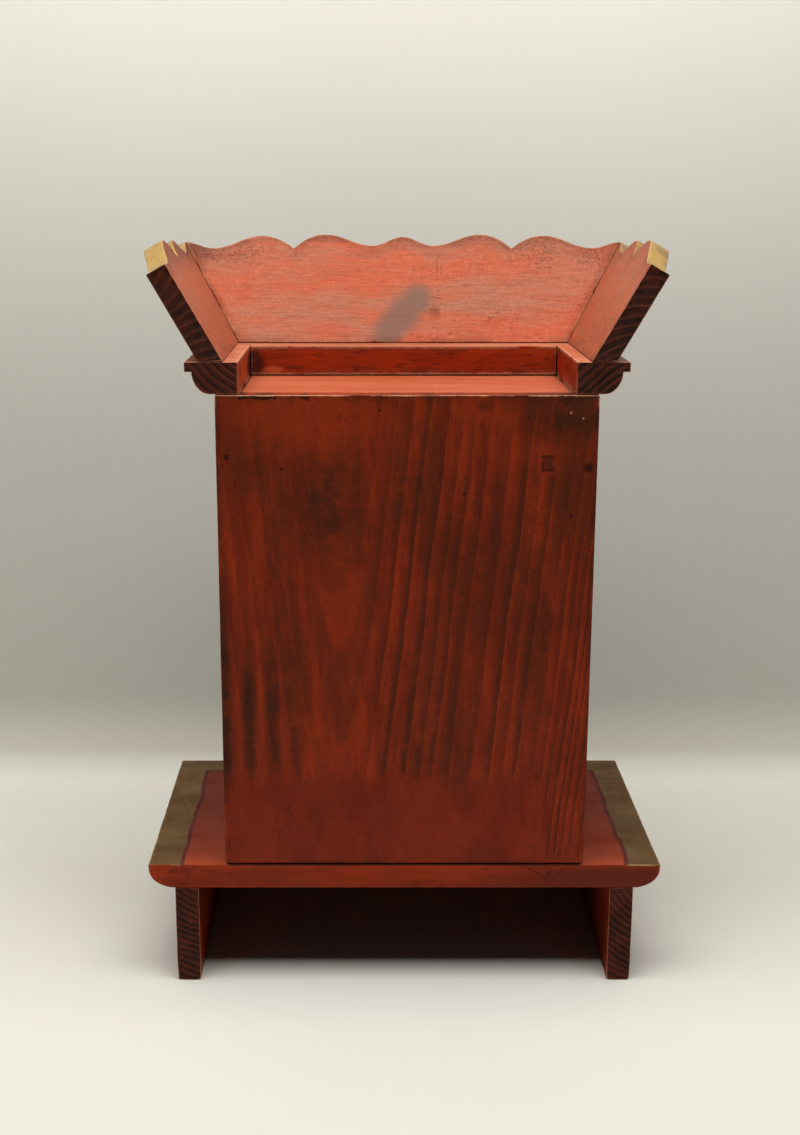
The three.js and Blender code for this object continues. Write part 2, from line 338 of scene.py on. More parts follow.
def figure_group():
    """The back board's figure: rings that close downwards in tongues, each sharp on its inner side."""
    tree, sheet, socket = new_tree(
        "Upright figure",
        "ShaderNodeTree",
        {
            "Place": "Vector",
            "Heart": 0.049,
            "Depth": 0.020,
            "Closing": 0.105,
            "Waver": 0.006,
        },
        ("Lines", "Bands", "Radius"),
    )
    x, _, z = sheet.split(socket["Place"])
    slow = sheet.drawn(socket["Place"], (1.0, 1.0, 0.30), 26.0, 2.0, 0.5)
    fine = sheet.drawn(socket["Place"], (1.0, 1.0, 0.22), 120.0, 3.0, 0.6)
    off = sheet.less(x, socket["Heart"])
    far = sheet.math("SQRT", sheet.plus(sheet.times(off, off), sheet.times(socket["Depth"], socket["Depth"])))
    drop = sheet.times(sheet.less(z, 0.30), socket["Closing"])
    radius = sheet.less(sheet.less(far, socket["Depth"]), drop)
    radius = sheet.plus(radius, sheet.sway(slow, socket["Waver"]))
    radius = sheet.plus(radius, sheet.sway(fine, 0.0022))
    reach = RINGS[-1] * MM
    curve = sheet.node("ShaderNodeFloatCurve", {"Value": sheet.over(radius, reach)})
    points = curve.mapping.curves[0].points
    last = len(RINGS) - 1
    for k, ring in enumerate(RINGS):
        point = points[0] if k == 0 else points[1] if k == last else points.new(ring / RINGS[-1], k / last)
        point.location = (ring / RINGS[-1], k / last)
    for point in points:
        point.handle_type = "VECTOR"
    curve.mapping.update()
    number = sheet.times(curve.outputs[0], float(last))
    whole = sheet.math("FLOOR", number)
    part = sheet.less(number, whole)
    chance = sheet.node("ShaderNodeTexWhiteNoise", {"W": whole}, noise_dimensions="1D").outputs
    pick = sheet.split(chance["Color"])
    come_and_go = sheet.noise(sheet.join(sheet.times(whole, 3.7), 0.0, z), 22.0, 2.0)
    width = sheet.plus(0.12, sheet.times(pick[0], 0.30))
    line = sheet.times(sheet.fade(part, 0.0, 0.045), sheet.fade(part, width, sheet.times(width, 0.15)))
    strength = sheet.times(sheet.plus(0.35, sheet.times(pick[1], 0.65)), sheet.fade(come_and_go, 0.22, 0.55))
    lines = sheet.times(line, strength)
    before = sheet.fade(part, sheet.plus(0.10, sheet.times(pick[2], 0.40)), 0.85)
    bands = sheet.times(before, sheet.fade(part, 1.0, 0.955), sheet.plus(0.45, sheet.times(pick[2], 0.55)))
    close_tree(tree, Lines=lines, Bands=bands, Radius=radius)
    return tree


def wood_grain_group():
    tree, sheet, socket = new_tree(
        "Wood grain",
        "ShaderNodeTree",
        {
            "Grain": "Vector",
            "Ring spacing": 0.008,
            "Ring waver": 0.010,
            "Fibre scale": 900.0,
        },
        ("Rings", "Fibres", "Pores", "Clouds"),
    )
    grain = socket["Grain"]
    rings = ring_phase(sheet, grain, socket["Ring spacing"], socket["Ring waver"])
    drawn = sheet.stretched(grain, (1.0, 1.0, 0.035))
    fibres = sheet.noise(drawn, socket["Fibre scale"], 4.0, 0.62)
    pores = sheet.fade(
        sheet.noise(sheet.stretched(grain, (1.0, 1.0, 0.07), (3.1, 1.7, 0.4)), 1500.0, 3.0, 0.6), 0.60, 0.70
    )
    clouds = sheet.noise(sheet.stretched(grain, (1.0, 1.0, 0.22), (0.7, 0.2, 0.9)), 34.0, 5.0, 0.6)
    close_tree(tree, Rings=rings, Fibres=fibres, Pores=pores, Clouds=clouds)
    return tree


def worn_arris_group():
    tree, sheet, socket = new_tree(
        "Worn arris",
        "ShaderNodeTree",
        {
            "Place": "Vector",
            "Arris": 1.0,
            "Width": 0.0016,
            "Raggedness": 0.7,
        },
        ("Worn", "Rubbed", "Grimy"),
    )
    rough = sheet.noise(socket["Place"], 190.0, 5.0, 0.65)
    slow = sheet.noise(socket["Place"], 38.0, 3.0, 0.6)
    push = sheet.times(sheet.less(rough, 0.5), socket["Raggedness"], 3.6)
    ratio = sheet.over(socket["Arris"], socket["Width"])
    edge = sheet.plus(ratio, push)
    worn = sheet.times(sheet.fade(edge, 1.05, 0.45), sheet.fade(slow, 0.36, 0.52))
    rubbed = sheet.times(sheet.fade(edge, 4.0, 0.2), sheet.fade(slow, 0.30, 0.62))
    grimy = sheet.times(sheet.fade(edge, 6.0, 0.6), sheet.fade(slow, 0.60, 0.44))
    close_tree(tree, Worn=worn, Rubbed=rubbed, Grimy=grimy)
    return tree


def grime_group():
    tree, sheet, socket = new_tree(
        "Grime",
        "ShaderNodeTree",
        {"Place": "Vector", "Amount": 0.5},
        ("Clouds", "Specks", "Dust"),
    )
    place, amount = socket["Place"], socket["Amount"]
    clouds = sheet.noise(place, 17.0, 6.0, 0.62, 0.4)
    patchy = sheet.noise(place, 52.0, 4.0, 0.6)
    threshold = sheet.less(0.80, sheet.times(amount, 0.16))
    fine = sheet.noise(place, 620.0, 3.0, 0.7)
    speck = sheet.fade(fine, threshold, sheet.plus(threshold, 0.035))
    specks = sheet.times(speck, sheet.fade(patchy, 0.42, 0.62))
    dust = sheet.times(
        sheet.fade(sheet.noise(place, 240.0, 4.0, 0.7), 0.45, 0.75), sheet.fade(clouds, 0.35, 0.65)
    )
    close_tree(tree, Clouds=sheet.fade(clouds, 0.32, 0.68), Specks=specks, Dust=dust)
    return tree


def end_grain_group():
    tree, sheet, socket = new_tree(
        "End grain",
        "ShaderNodeTree",
        {"Grain": "Vector", "Ring spacing": 0.005, "Ring waver": 0.004},
        ("Rings", "Pits", "Stain", "Hollows"),
    )
    grain = socket["Grain"]
    rings = ring_phase(sheet, grain, socket["Ring spacing"], socket["Ring waver"])
    pits = sheet.fade(sheet.noise(grain, 900.0, 3.0, 0.7), 0.42, 0.62)
    stain = sheet.noise(grain, 75.0, 4.0, 0.65)
    # hollows: low between the hard rings and where the grain is torn; the paints darken them as painted shade
    torn = sheet.times(sheet.less(sheet.noise(grain, 420.0, 4.0, 0.7), 0.5), 0.9)
    hollows = sheet.fade(sheet.plus(rings, torn), 0.42, 0.14)
    close_tree(
        tree,
        Rings=sheet.fade(rings, 0.55, 0.96),
        Pits=pits,
        Stain=sheet.fade(stain, 0.38, 0.62),
        Hollows=hollows,
    )
    return tree


def mark_group():
    tree, sheet, socket = new_tree(
        "Local mark",
        "ShaderNodeTree",
        {
            "Place": "Vector",
            "Centre": (0.0, 0.0, 0.0),
            "Reach": (0.01, 0.01, 0.01),
            "Turn": (0.0, 0.0, 0.0),
            "Softness": 0.5,
            "Raggedness": 0.4,
            "Break up": 90.0,
        },
        ("Mask",),
    )
    moved = sheet.vector("SUBTRACT", socket["Place"], socket["Centre"])
    turned = sheet.node(
        "ShaderNodeVectorRotate", {"Vector": moved, "Rotation": socket["Turn"]}, rotation_type="EULER_XYZ"
    ).outputs[0]
    scaled = sheet.vector("DIVIDE", turned, socket["Reach"])
    distance = sheet.vector("LENGTH", scaled, out=1)
    ragged = sheet.noise(socket["Place"], socket["Break up"], 5.0, 0.65)
    wandered = sheet.plus(distance, sheet.times(sheet.less(ragged, 0.5), socket["Raggedness"], 3.0))
    start = sheet.plus(1.0, socket["Softness"])
    stop = sheet.less(1.0, socket["Softness"])
    close_tree(tree, Mask=sheet.fade(wandered, start, stop))
    return tree


# ------------------------------------------------------------------ materials


class Paint:
    """A material being mixed: its sheet, the coordinates that it reads and the shared effects."""

    def __init__(self, name, effects, finish):
        self.material = bpy.data.materials.new(name)
        self.material.use_nodes = True
        self.sheet = Sheet(self.material.node_tree)
        self.shader = self.material.node_tree.nodes["Principled BSDF"]
        self.effects = effects
        self.finish = finish
        sheet = self.sheet
        self.place = sheet.node("ShaderNodeTexCoord").outputs["Object"]
        self.grain = sheet.node("ShaderNodeAttribute", attribute_name="grain").outputs["Vector"]
        self.arris = sheet.node("ShaderNodeAttribute", attribute_name="arris").outputs["Fac"]
        self.lip = sheet.node("ShaderNodeAttribute", attribute_name="lip").outputs["Fac"]
        self.facing = sheet.split(sheet.node("ShaderNodeNewGeometry").outputs["Normal"])
        self.x, self.y, self.z = sheet.split(self.place)
        at_back = sheet.fade(self.y, BACK - 0.0030, BACK - 0.0016)
        self.backward = sheet.times(sheet.fade(self.facing[1], 0.75, 0.93), at_back)
        self.upward = sheet.fade(self.facing[2], 0.75, 0.93)

    def effect(self, name, **inputs):
        sources = {"Grain": self.grain, "Place": self.place, "Arris": self.arris}
        group = self.effects[name]
        wanted = {item.name for item in group.interface.items_tree if item.in_out == "INPUT"}
        given = {key.lower(): value for key, value in sources.items() if key in wanted}
        return self.sheet.use(group, **{**given, **inputs})

    def mark(self, x, z, reach_x, reach_z, y=None, soft=0.5, ragged=0.4, fine=90.0, turn=0.0):
        """A local mark seen from behind. Its place and reach are in millimetres."""
        centre = (x * MM, (y if y is not None else 0.0) * MM, z * MM)
        reach = (reach_x * MM, 0.03 if y is not None else 10.0, reach_z * MM)
        turned = (0.0, turn, 0.0)
        shape = {"softness": soft, "raggedness": ragged, "break_up": fine}
        return self.effect("mark", centre=centre, reach=reach, turn=turned, **shape)["Mask"]

    def finish_with(self, base, roughness, height, depth=0.0004, metallic=None):
        sheet, shader = self.sheet, self.shader
        feed(sheet.tree, shader.inputs["Base Color"], base)
        feed(sheet.tree, shader.inputs["Roughness"], roughness)
        if metallic is not None:
            feed(sheet.tree, shader.inputs["Metallic"], metallic)
        shader.inputs["Specular IOR Level"].default_value = 0.12
        bump = sheet.node("ShaderNodeBump", {"Height": height, "Strength": 1.0, "Distance": depth})
        sheet.tree.links.new(bump.outputs[0], shader.inputs["Normal"])
        return self.material

    def bare_ends(self, base, spacing=0.0045, waver=0.004, light=1.0, reddened=0.0, hollows=0.3):
        """Dark bare end grain wherever a board's end shows at the back.

        Returns the colour and the height of the rings."""
        sheet, finish = self.sheet, self.finish
        ends = self.effect("end grain", ring_spacing=spacing, ring_waver=waver)
        dark = sheet.mix(sheet.times(ends["Stain"], 0.55 * light), finish.bare, finish.ring)
        dark = sheet.coat(dark, "6a2c19", reddened, 0.60)
        ringed = sheet.mix(sheet.times(ends["Rings"], 0.60 * light), dark, finish.ring)
        # painted shade: the hollows between the raised hard rings, and the torn grain, are darkened almost to
        # black
        hollow = sheet.fade(ends["Hollows"], 0.30, 0.62)
        ringed = sheet.coat(ringed, "140806", hollow, hollows)
        pitted = sheet.mix(sheet.times(ends["Pits"], 0.45), ringed, "150806")
        worn = self.effect("worn arris", width=0.0012)
        rim = sheet.mix(sheet.times(worn["Worn"], 0.55), pitted, finish.deep_red)
        height = sheet.less(sheet.times(ends["Rings"], 0.8), ends["Pits"])
        return sheet.mix(self.backward, base, rim), height


def red_paint(effects, finish):
    """Deep red paint over straight grain, rubbed at the arrises, with bare ends at the back."""
    paint = Paint("red paint", effects, finish)
    sheet = paint.sheet
    grain = paint.effect("wood grain", ring_spacing=0.011)
    grime = paint.effect("grime", amount=0.5)
    wear = paint.effect("worn arris")
    body = sheet.mix(sheet.fade(grain["Clouds"], 0.35, 0.68), finish.deep_red, finish.red)
    body = sheet.coat(body, finish.soot, grain["Fibres"], 0.30)
    body = sheet.coat(body, finish.bright_red, sheet.fade(grain["Rings"], 0.7, 1.0), 0.25)
    body = sheet.coat(body, finish.soot, grime["Clouds"], 0.40)
    body = sheet.coat(body, "1c0c08", grime["Specks"], 0.6)
    body = sheet.coat(body, finish.soot, wear["Grimy"], 0.35)
    body = sheet.coat(body, finish.bright_red, wear["Rubbed"], 0.30)
    body = sheet.coat(body, finish.dust, wear["Worn"], 0.55)
    gilt = gilding(paint)
    body = sheet.coat(body, finish.gold, gilt)
    body, ends_height = paint.bare_ends(body, 0.0048, 0.010, hollows=0.6)
    roughness = sheet.plus(0.36, sheet.times(grime["Clouds"], 0.26))
    height = sheet.less(sheet.times(grain["Fibres"], 0.45), sheet.times(wear["Worn"], 0.6))
    height = sheet.plus(height, sheet.times(ends_height, paint.backward))
    return paint.finish_with(body, roughness, height, 0.00035, metallic=sheet.times(gilt, 0.55))


def gilding(paint):
    """Dull gilding that follows a curved edge, broken where it has rubbed off."""
    sheet = paint.sheet
    broken = sheet.noise(paint.place, 110.0, 5.0, 0.7)
    edge = sheet.plus(paint.lip, sheet.sway(broken, 0.006))
    return sheet.times(sheet.fade(edge, 0.0062, 0.0052), sheet.fade(broken, 0.34, 0.44))


def cornice_paint(effects, finish):
    """Cornice rails: deep red inner faces, faded tops, dark ends, a dull gilt fillet outside."""
    paint = Paint("cornice paint", effects, finish)
    sheet = paint.sheet
    grain = paint.effect("wood grain", ring_spacing=0.012)
    grime = paint.effect("grime", amount=0.6)
    wear = paint.effect("worn arris", width=0.0014)
    body = sheet.mix(sheet.fade(grain["Clouds"], 0.36, 0.66), "962b0e", "a9370f")
    body = sheet.coat(body, finish.deep_red, grain["Fibres"], 0.28)
    body = sheet.coat(body, finish.deep_red, grime["Clouds"], 0.42)
    lengthways = sheet.stretched(paint.place, (0.14, 0.14, 1.0))
    drawn = sheet.fade(sheet.noise(lengthways, 260.0, 5.0, 0.7), 0.46, 0.66)
    body = sheet.coat(body, "6a1f0c", drawn, 0.40)
    scored = sheet.fade(
        sheet.noise(sheet.stretched(lengthways, (1.0, 1.0, 1.0), (0.3, 0.7, 0.2)), 520.0, 3.0, 0.6),
        0.60,
        0.66,
    )
    body = sheet.coat(body, "36140b", scored, 0.65)
    facing_right = sheet.fade(paint.facing[0], -0.6, -0.9)
    body = sheet.coat(body, "b4542f", facing_right, 0.55)
    blotch = paint.mark(119, 476, 9, 10, y=-7, ragged=0.6, soft=0.35)
    body = sheet.coat(body, "3a1610", blotch, 0.85)
    clean = paint.mark(104, 471, 8, 3, y=-7, ragged=0.5, soft=0.4)
    body = sheet.coat(body, finish.orange, clean, 0.8)
    scuffs = sheet.times(
        sheet.fade(sheet.drawn(paint.place, (0.5, 0.5, 1.6), 60.0, 5.0, 0.7), 0.56, 0.64), 0.55
    )
    body = sheet.coat(body, finish.soot, scuffs)
    top = sheet.mix(sheet.fade(grain["Clouds"], 0.3, 0.7), "a8573c", "b8755a")
    top = sheet.coat(top, "8c3a22", grime["Clouds"], 0.40)
    top = sheet.coat(top, finish.deep_red, grain["Pores"], 0.25)
    body = sheet.coat(body, top, paint.upward)
    body = sheet.coat(body, finish.salmon, wear["Rubbed"], 0.10)
    body = sheet.coat(body, finish.dust, wear["Worn"], 0.55)
    gilt = gilding(paint)
    body = sheet.coat(body, finish.gold, gilt)
    body, ends_height = paint.bare_ends(body, 0.0056, 0.006, 1.0, sheet.fade(paint.x, -0.05, 0.05), 0.85)
    roughness = sheet.plus(0.38, sheet.times(grime["Clouds"], 0.25))
    height = sheet.plus(sheet.times(grain["Fibres"], 0.4), sheet.times(ends_height, paint.backward))
    return paint.finish_with(body, roughness, height, 0.0004, metallic=sheet.times(gilt, 0.55))


def back_paint(effects, finish):
    """The back board: thin orange-red paint over a broad upright figure, darkened by soot."""
    paint = Paint("sooty back board", effects, finish)
    sheet = paint.sheet
    x, z = paint.x, paint.z
    grain = paint.effect("wood grain", ring_spacing=0.0098, ring_waver=0.016, fibre_scale=700.0)
    grime = paint.effect("grime", amount=0.5)
    wear = paint.effect("worn arris", width=0.0012)
    figure = paint.effect("figure")
    upright = sheet.stretched(paint.place, (1.0, 1.0, 0.16))
    streak = sheet.noise(upright, 85.0, 6.0, 0.68)
    slow = sheet.drawn(paint.place, (1.0, 1.0, 0.45), 16.0, 5.0, 0.6)
    mottle = sheet.noise(paint.place, 75.0, 6.0, 0.72)
    grit = sheet.drawn(paint.place, (1.0, 1.0, 0.6), 820.0, 3.0, 0.75)

    ground = sheet.mix(sheet.fade(streak, 0.30, 0.70), "76230d", "a5350f")
    ground = sheet.coat(ground, "822a10", sheet.fade(mottle, 0.42, 0.66), 0.40)
    # over the -X half the rings alternate between rubbed lines and sooty bands
    edge_of_zone = sheet.plus(x, sheet.sway(slow, 0.03))
    ragged_z = sheet.plus(z, sheet.sway(mottle, 0.035))
    above = sheet.most(
        sheet.fade(ragged_z, 0.160, 0.178),
        sheet.times(sheet.fade(x, -0.104, -0.110), sheet.fade(ragged_z, 0.104, 0.112)),
    )
    right_half = sheet.fade(edge_of_zone, 0.030, 0.006)
    zone = sheet.times(sheet.plus(0.42, sheet.times(right_half, 0.58)), above)
    high_up = sheet.plus(0.55, sheet.times(sheet.fade(z, 0.455, 0.390), 0.45))
    bands = sheet.times(figure["Bands"], zone, high_up, sheet.fade(mottle, 0.25, 0.48))
    body = sheet.mix(sheet.times(bands, 0.76), ground, "43200e")
    # soot gathers in long faint streaks of its own
    soft = sheet.drawn(paint.place, (1.0, 1.0, 0.10), 48.0, 4.0, 0.6)
    faint = sheet.times(sheet.fade(soft, 0.47, 0.66), above, 0.48)
    body = sheet.coat(body, "4e2410", faint)
    lines = sheet.times(
        figure["Lines"], sheet.plus(0.25, sheet.times(zone, 0.75)), sheet.fade(mottle, 0.22, 0.42)
    )
    body = sheet.coat(body, "ad3710", lines, 0.66)

    # the clear tongue of sound paint near the log's heart, with sooty sides
    inside = sheet.fade(figure["Radius"], 0.0045, 0.0025)
    beside = sheet.band(figure["Radius"], 0.0035, 0.0115, 0.0012)
    low_half = sheet.band(z, 0.198, 0.335, 0.018)
    body = sheet.coat(body, "a1330f", inside, low_half, 0.80)
    body = sheet.coat(body, "4a220f", beside, low_half, 0.22)

    spots = (
        (60, 386, 26, 42, 0.62), (56, 330, 14, 26, 0.30), (119, 225, 5, 56, 0.75), (101, 222, 5.5, 58, 0.70)
    )
    spots += (
        (84, 250, 10, 60, 0.45), (-122, 455, 40, 24, 0.70), (112, 415, 14, 30, 0.40), (96, 330, 9, 50, 0.40),
        (-60, 330, 40, 60, 0.38), (-20, 250, 30, 60, 0.25),
    )
    soot = sheet.times(sheet.fade(slow, 0.46, 0.66), 0.42)
    for spot_x, spot_z, wide, high, deep in spots:
        spot = paint.mark(spot_x, spot_z, wide, high, soft=0.75, ragged=0.34, fine=60.0)
        soot = sheet.most(soot, sheet.times(spot, deep))
    soot = sheet.most(soot, sheet.times(sheet.fade(x, 0.128, 0.136), sheet.fade(z, 0.37, 0.27), 0.8))
    crumbled = sheet.times(soot, sheet.fade(sheet.plus(mottle, sheet.times(streak, 0.6)), 0.55, 0.95))
    crumbled = sheet.times(sheet.plus(crumbled, sheet.times(soot, 0.45)), sheet.fade(ragged_z, 0.150, 0.185))
    body = sheet.coat(body, "43200e", crumbled)
    bright = (
        (62, 447, 44, 20, 0.55), (100, 452, 22, 12, 0.35), (-52, 456, 16, 9, 0.55), (-70, 447, 7, 7, 0.45),
        (-98, 424, 22, 10, 0.30),
    )
    for patch_x, patch_z, wide, high, deep in bright:
        patch = paint.mark(patch_x, patch_z, wide, high, soft=0.8, ragged=0.45)
        body = sheet.coat(body, "a2350f", patch, deep)
    body = sheet.coat(body, "43200e", paint.mark(-57, 459, 6, 4.5, soft=0.5, ragged=0.6), 0.6)

    # below, the paint lies thicker and only clouds it
    cloudy = sheet.drawn(paint.place, (1.0, 1.0, 0.6), 30.0, 6.0, 0.68)
    plain = sheet.mix(sheet.fade(cloudy, 0.34, 0.66), "742310", "8f2e12")
    plain = sheet.coat(plain, "5c1e0d", sheet.fade(streak, 0.52, 0.72), 0.28)
    body = sheet.coat(body, plain, sheet.less(1.0, above), 0.80)

    # fine grain everywhere, dark pores in short upright dashes, and a few pits
    body = sheet.coat(body, "3a1a0c", sheet.fade(grit, 0.40, 0.66), 0.26)
    body = sheet.coat(body, "b04018", sheet.fade(grit, 0.46, 0.26), 0.18)
    body = sheet.coat(body, "3a1a0c", sheet.fade(grain["Fibres"], 0.44, 0.78), 0.22)
    dashes = sheet.fade(sheet.drawn(paint.place, (1.0, 1.0, 0.22), 480.0, 3.0, 0.7), 0.60, 0.67)
    sparse = sheet.most(sheet.fade(sheet.noise(paint.place, 24.0, 2.0), 0.50, 0.66), sheet.times(soot, 1.1))
    body = sheet.coat(body, "260f07", dashes, sparse, 0.55)
    body = sheet.coat(body, "1c0c06", grime["Specks"], 0.75)

    from_plug = (sheet.size(sheet.less(x, -103 * MM)), sheet.size(sheet.less(z, 416.5 * MM)))
    jagged = sheet.sway(grit, 0.0016)
    square = sheet.plus(sheet.most(from_plug[0], sheet.times(from_plug[1], 0.72)), jagged)
    plug = sheet.fade(square, 0.0040, 0.0034)
    rim = sheet.times(sheet.band(square, 0.0034, 0.0044, 0.0003), sheet.fade(mottle, 0.35, 0.50))
    halo = sheet.fade(square, 0.0100, 0.0040)
    body = sheet.coat(body, "9c3110", halo, 0.35)
    body = sheet.coat(body, "43200e", plug, 0.70)
    body = sheet.coat(body, "260f07", rim, 0.85)
    pits = (
        (-133, 413, 3.4), (-121.5, 377, 1.5), (-42.5, 394, 1.2), (132, 421, 1.9), (20, 455, 1.0),
        (92, 412, 1.1),
    )
    for spot_x, spot_z, size in pits:
        spot = paint.mark(spot_x, spot_z, size, size, soft=0.45, ragged=0.4, fine=500.0)
        body = sheet.coat(body, "200d07", spot, 0.85)
    for speck_x, speck_z in ((-128, 449.5), (-119, 453.5)):
        body = sheet.coat(
            body, "b08058", paint.mark(speck_x, speck_z, 0.8, 0.9, soft=0.3, ragged=0.3, fine=500.0)
        )
    for flake_x, flake_z, wide in ((104, 464.8, 10), (74, 464.6, 3.5), (119, 465, 4)):
        flake = paint.mark(flake_x, flake_z, wide, 1.8, soft=0.2, ragged=0.9, fine=420.0)
        body = sheet.coat(body, "200e08", flake, 0.9)

    body = sheet.coat(body, "34170b", wear["Grimy"], 0.35)
    body = sheet.coat(body, finish.dust, wear["Worn"], sheet.fade(z, 0.455, 0.463), 0.9)
    foot = sheet.times(sheet.fade(z, 0.1020, 0.1004), sheet.fade(mottle, 0.30, 0.45))
    body = sheet.coat(body, "1a0a05", foot, 0.9)
    body = sheet.coat(body, finish.bright_red, wear["Rubbed"], sheet.fade(z, 0.16, 0.11), 0.20)
    within = sheet.fade(paint.facing[1], -0.6, -0.9)
    body = sheet.coat(body, finish.deep_red, within)
    roughness = sheet.plus(0.42, sheet.times(sheet.most(soot, grime["Clouds"]), 0.24))
    relief = sheet.plus(sheet.times(grain["Fibres"], 0.30), sheet.times(figure["Lines"], 0.04))
    height = sheet.less(relief, sheet.plus(sheet.times(plug, 0.5), sheet.times(dashes, 0.4)))
    return paint.finish_with(body, roughness, height, 0.0003)


def base_paint(effects, finish):
    """The base board: a bronze margin round a red field on top, red moulded edges."""
    paint = Paint("base board paint", effects, finish)
    sheet = paint.sheet
    x, y, z = paint.x, paint.y, paint.z
    grain = paint.effect("wood grain", ring_spacing=0.013)
    grime = paint.effect("grime", amount=0.6)
    wear = paint.effect("worn arris", width=0.0015)
    wander = sheet.sway(sheet.noise(paint.place, 14.0, 3.0, 0.5), 0.012)
    side = sheet.less(HALF_WIDTH, sheet.size(x))
    fore = sheet.plus(y, HALF_DEPTH)
    inward = sheet.plus(sheet.math("MINIMUM", side, fore), wander)
    margin = sheet.fade(inward, 0.0245, 0.0238)
    border = sheet.band(inward, 0.0240, 0.0272, 0.0006)

    # painted shade and painted highlight: the field is painted darker towards the front, where the box keeps
    # the light off it, and brighter towards the back edge
    near = sheet.fade(y, -0.02, 0.10)
    field = sheet.mix(near, "742b19", "93391d")
    field = sheet.coat(field, "652413", grime["Clouds"], 0.45)
    field = sheet.coat(field, "b8502a", sheet.fade(y, 0.085, 0.112), 0.45)
    field = sheet.coat(field, finish.deep_red, grain["Fibres"], 0.25)
    bronze = sheet.mix(sheet.fade(grain["Clouds"], 0.35, 0.65), "64492a", finish.bronze)
    bronze = sheet.coat(bronze, "56391f", grime["Clouds"], 0.5)
    bronze = sheet.coat(bronze, "a5814a", sheet.fade(grime["Dust"], 0.2, 0.8), 0.45)
    top = sheet.mix(margin, field, bronze)
    top = sheet.coat(top, finish.line, border, 0.85)

    edge = sheet.mix(sheet.fade(grain["Clouds"], 0.38, 0.64), "7e2810", "a23411")
    mottled = sheet.fade(sheet.drawn(paint.place, (0.35, 1.0, 1.4), 120.0, 5.0, 0.7), 0.50, 0.66)
    to_left = sheet.plus(0.25, sheet.times(sheet.fade(x, 0.08, 0.19), 0.55))
    edge = sheet.coat(edge, "4a1a10", mottled, to_left)
    edge = sheet.coat(edge, "5e2411", sheet.fade(x, -0.02, -0.15), 0.65)
    edge = sheet.coat(edge, finish.bright_red, wear["Rubbed"], 0.35)
    for crack_x, crack_z, wide, high, turn in (
        (-101, 94, 9, 0.5, 0.5), (-112, 91, 0.6, 4.5, 0.4), (-121, 93, 6, 0.5, -0.7), (-64, 96, 4, 0.4, 0.2)
    ):
        crack = paint.mark(crack_x, crack_z, wide, high, soft=0.4, ragged=0.8, fine=240.0, turn=turn)
        edge = sheet.coat(edge, "240f08", crack, 0.65)
    body = sheet.mix(paint.upward, edge, top)
    body = sheet.coat(body, "1c0c08", grime["Specks"], 0.6)
    rim = sheet.mix(margin, "a24a2c", "a88a55")
    kept = sheet.plus(0.12, sheet.times(margin, 0.73))
    body = sheet.coat(body, rim, wear["Worn"], sheet.fade(z, 0.090, 0.097), kept)
    crack = sheet.times(
        sheet.fade(y, 0.1105, 0.1125),
        sheet.band(z, 0.0985, 0.1000, 0.0004),
        sheet.fade(sheet.size(x), 0.139, 0.136),
    )
    body = sheet.coat(body, "1a0a05", crack, 0.85)
    # painted shade: faces turned down, under the base and under its moulding, are painted near-black red
    under = sheet.fade(paint.facing[2], -0.6, -0.9)
    body = sheet.coat(body, "401008", under)
    roughness = sheet.less(sheet.plus(0.42, sheet.times(grime["Clouds"], 0.25)), sheet.times(margin, 0.06))
    height = sheet.plus(sheet.times(grain["Fibres"], 0.35), sheet.times(grime["Dust"], 0.3))
    metal = sheet.times(margin, paint.upward, sheet.fade(z, 0.097, 0.099), 0.35)
    return paint.finish_with(body, roughness, height, 0.0003, metallic=metal)


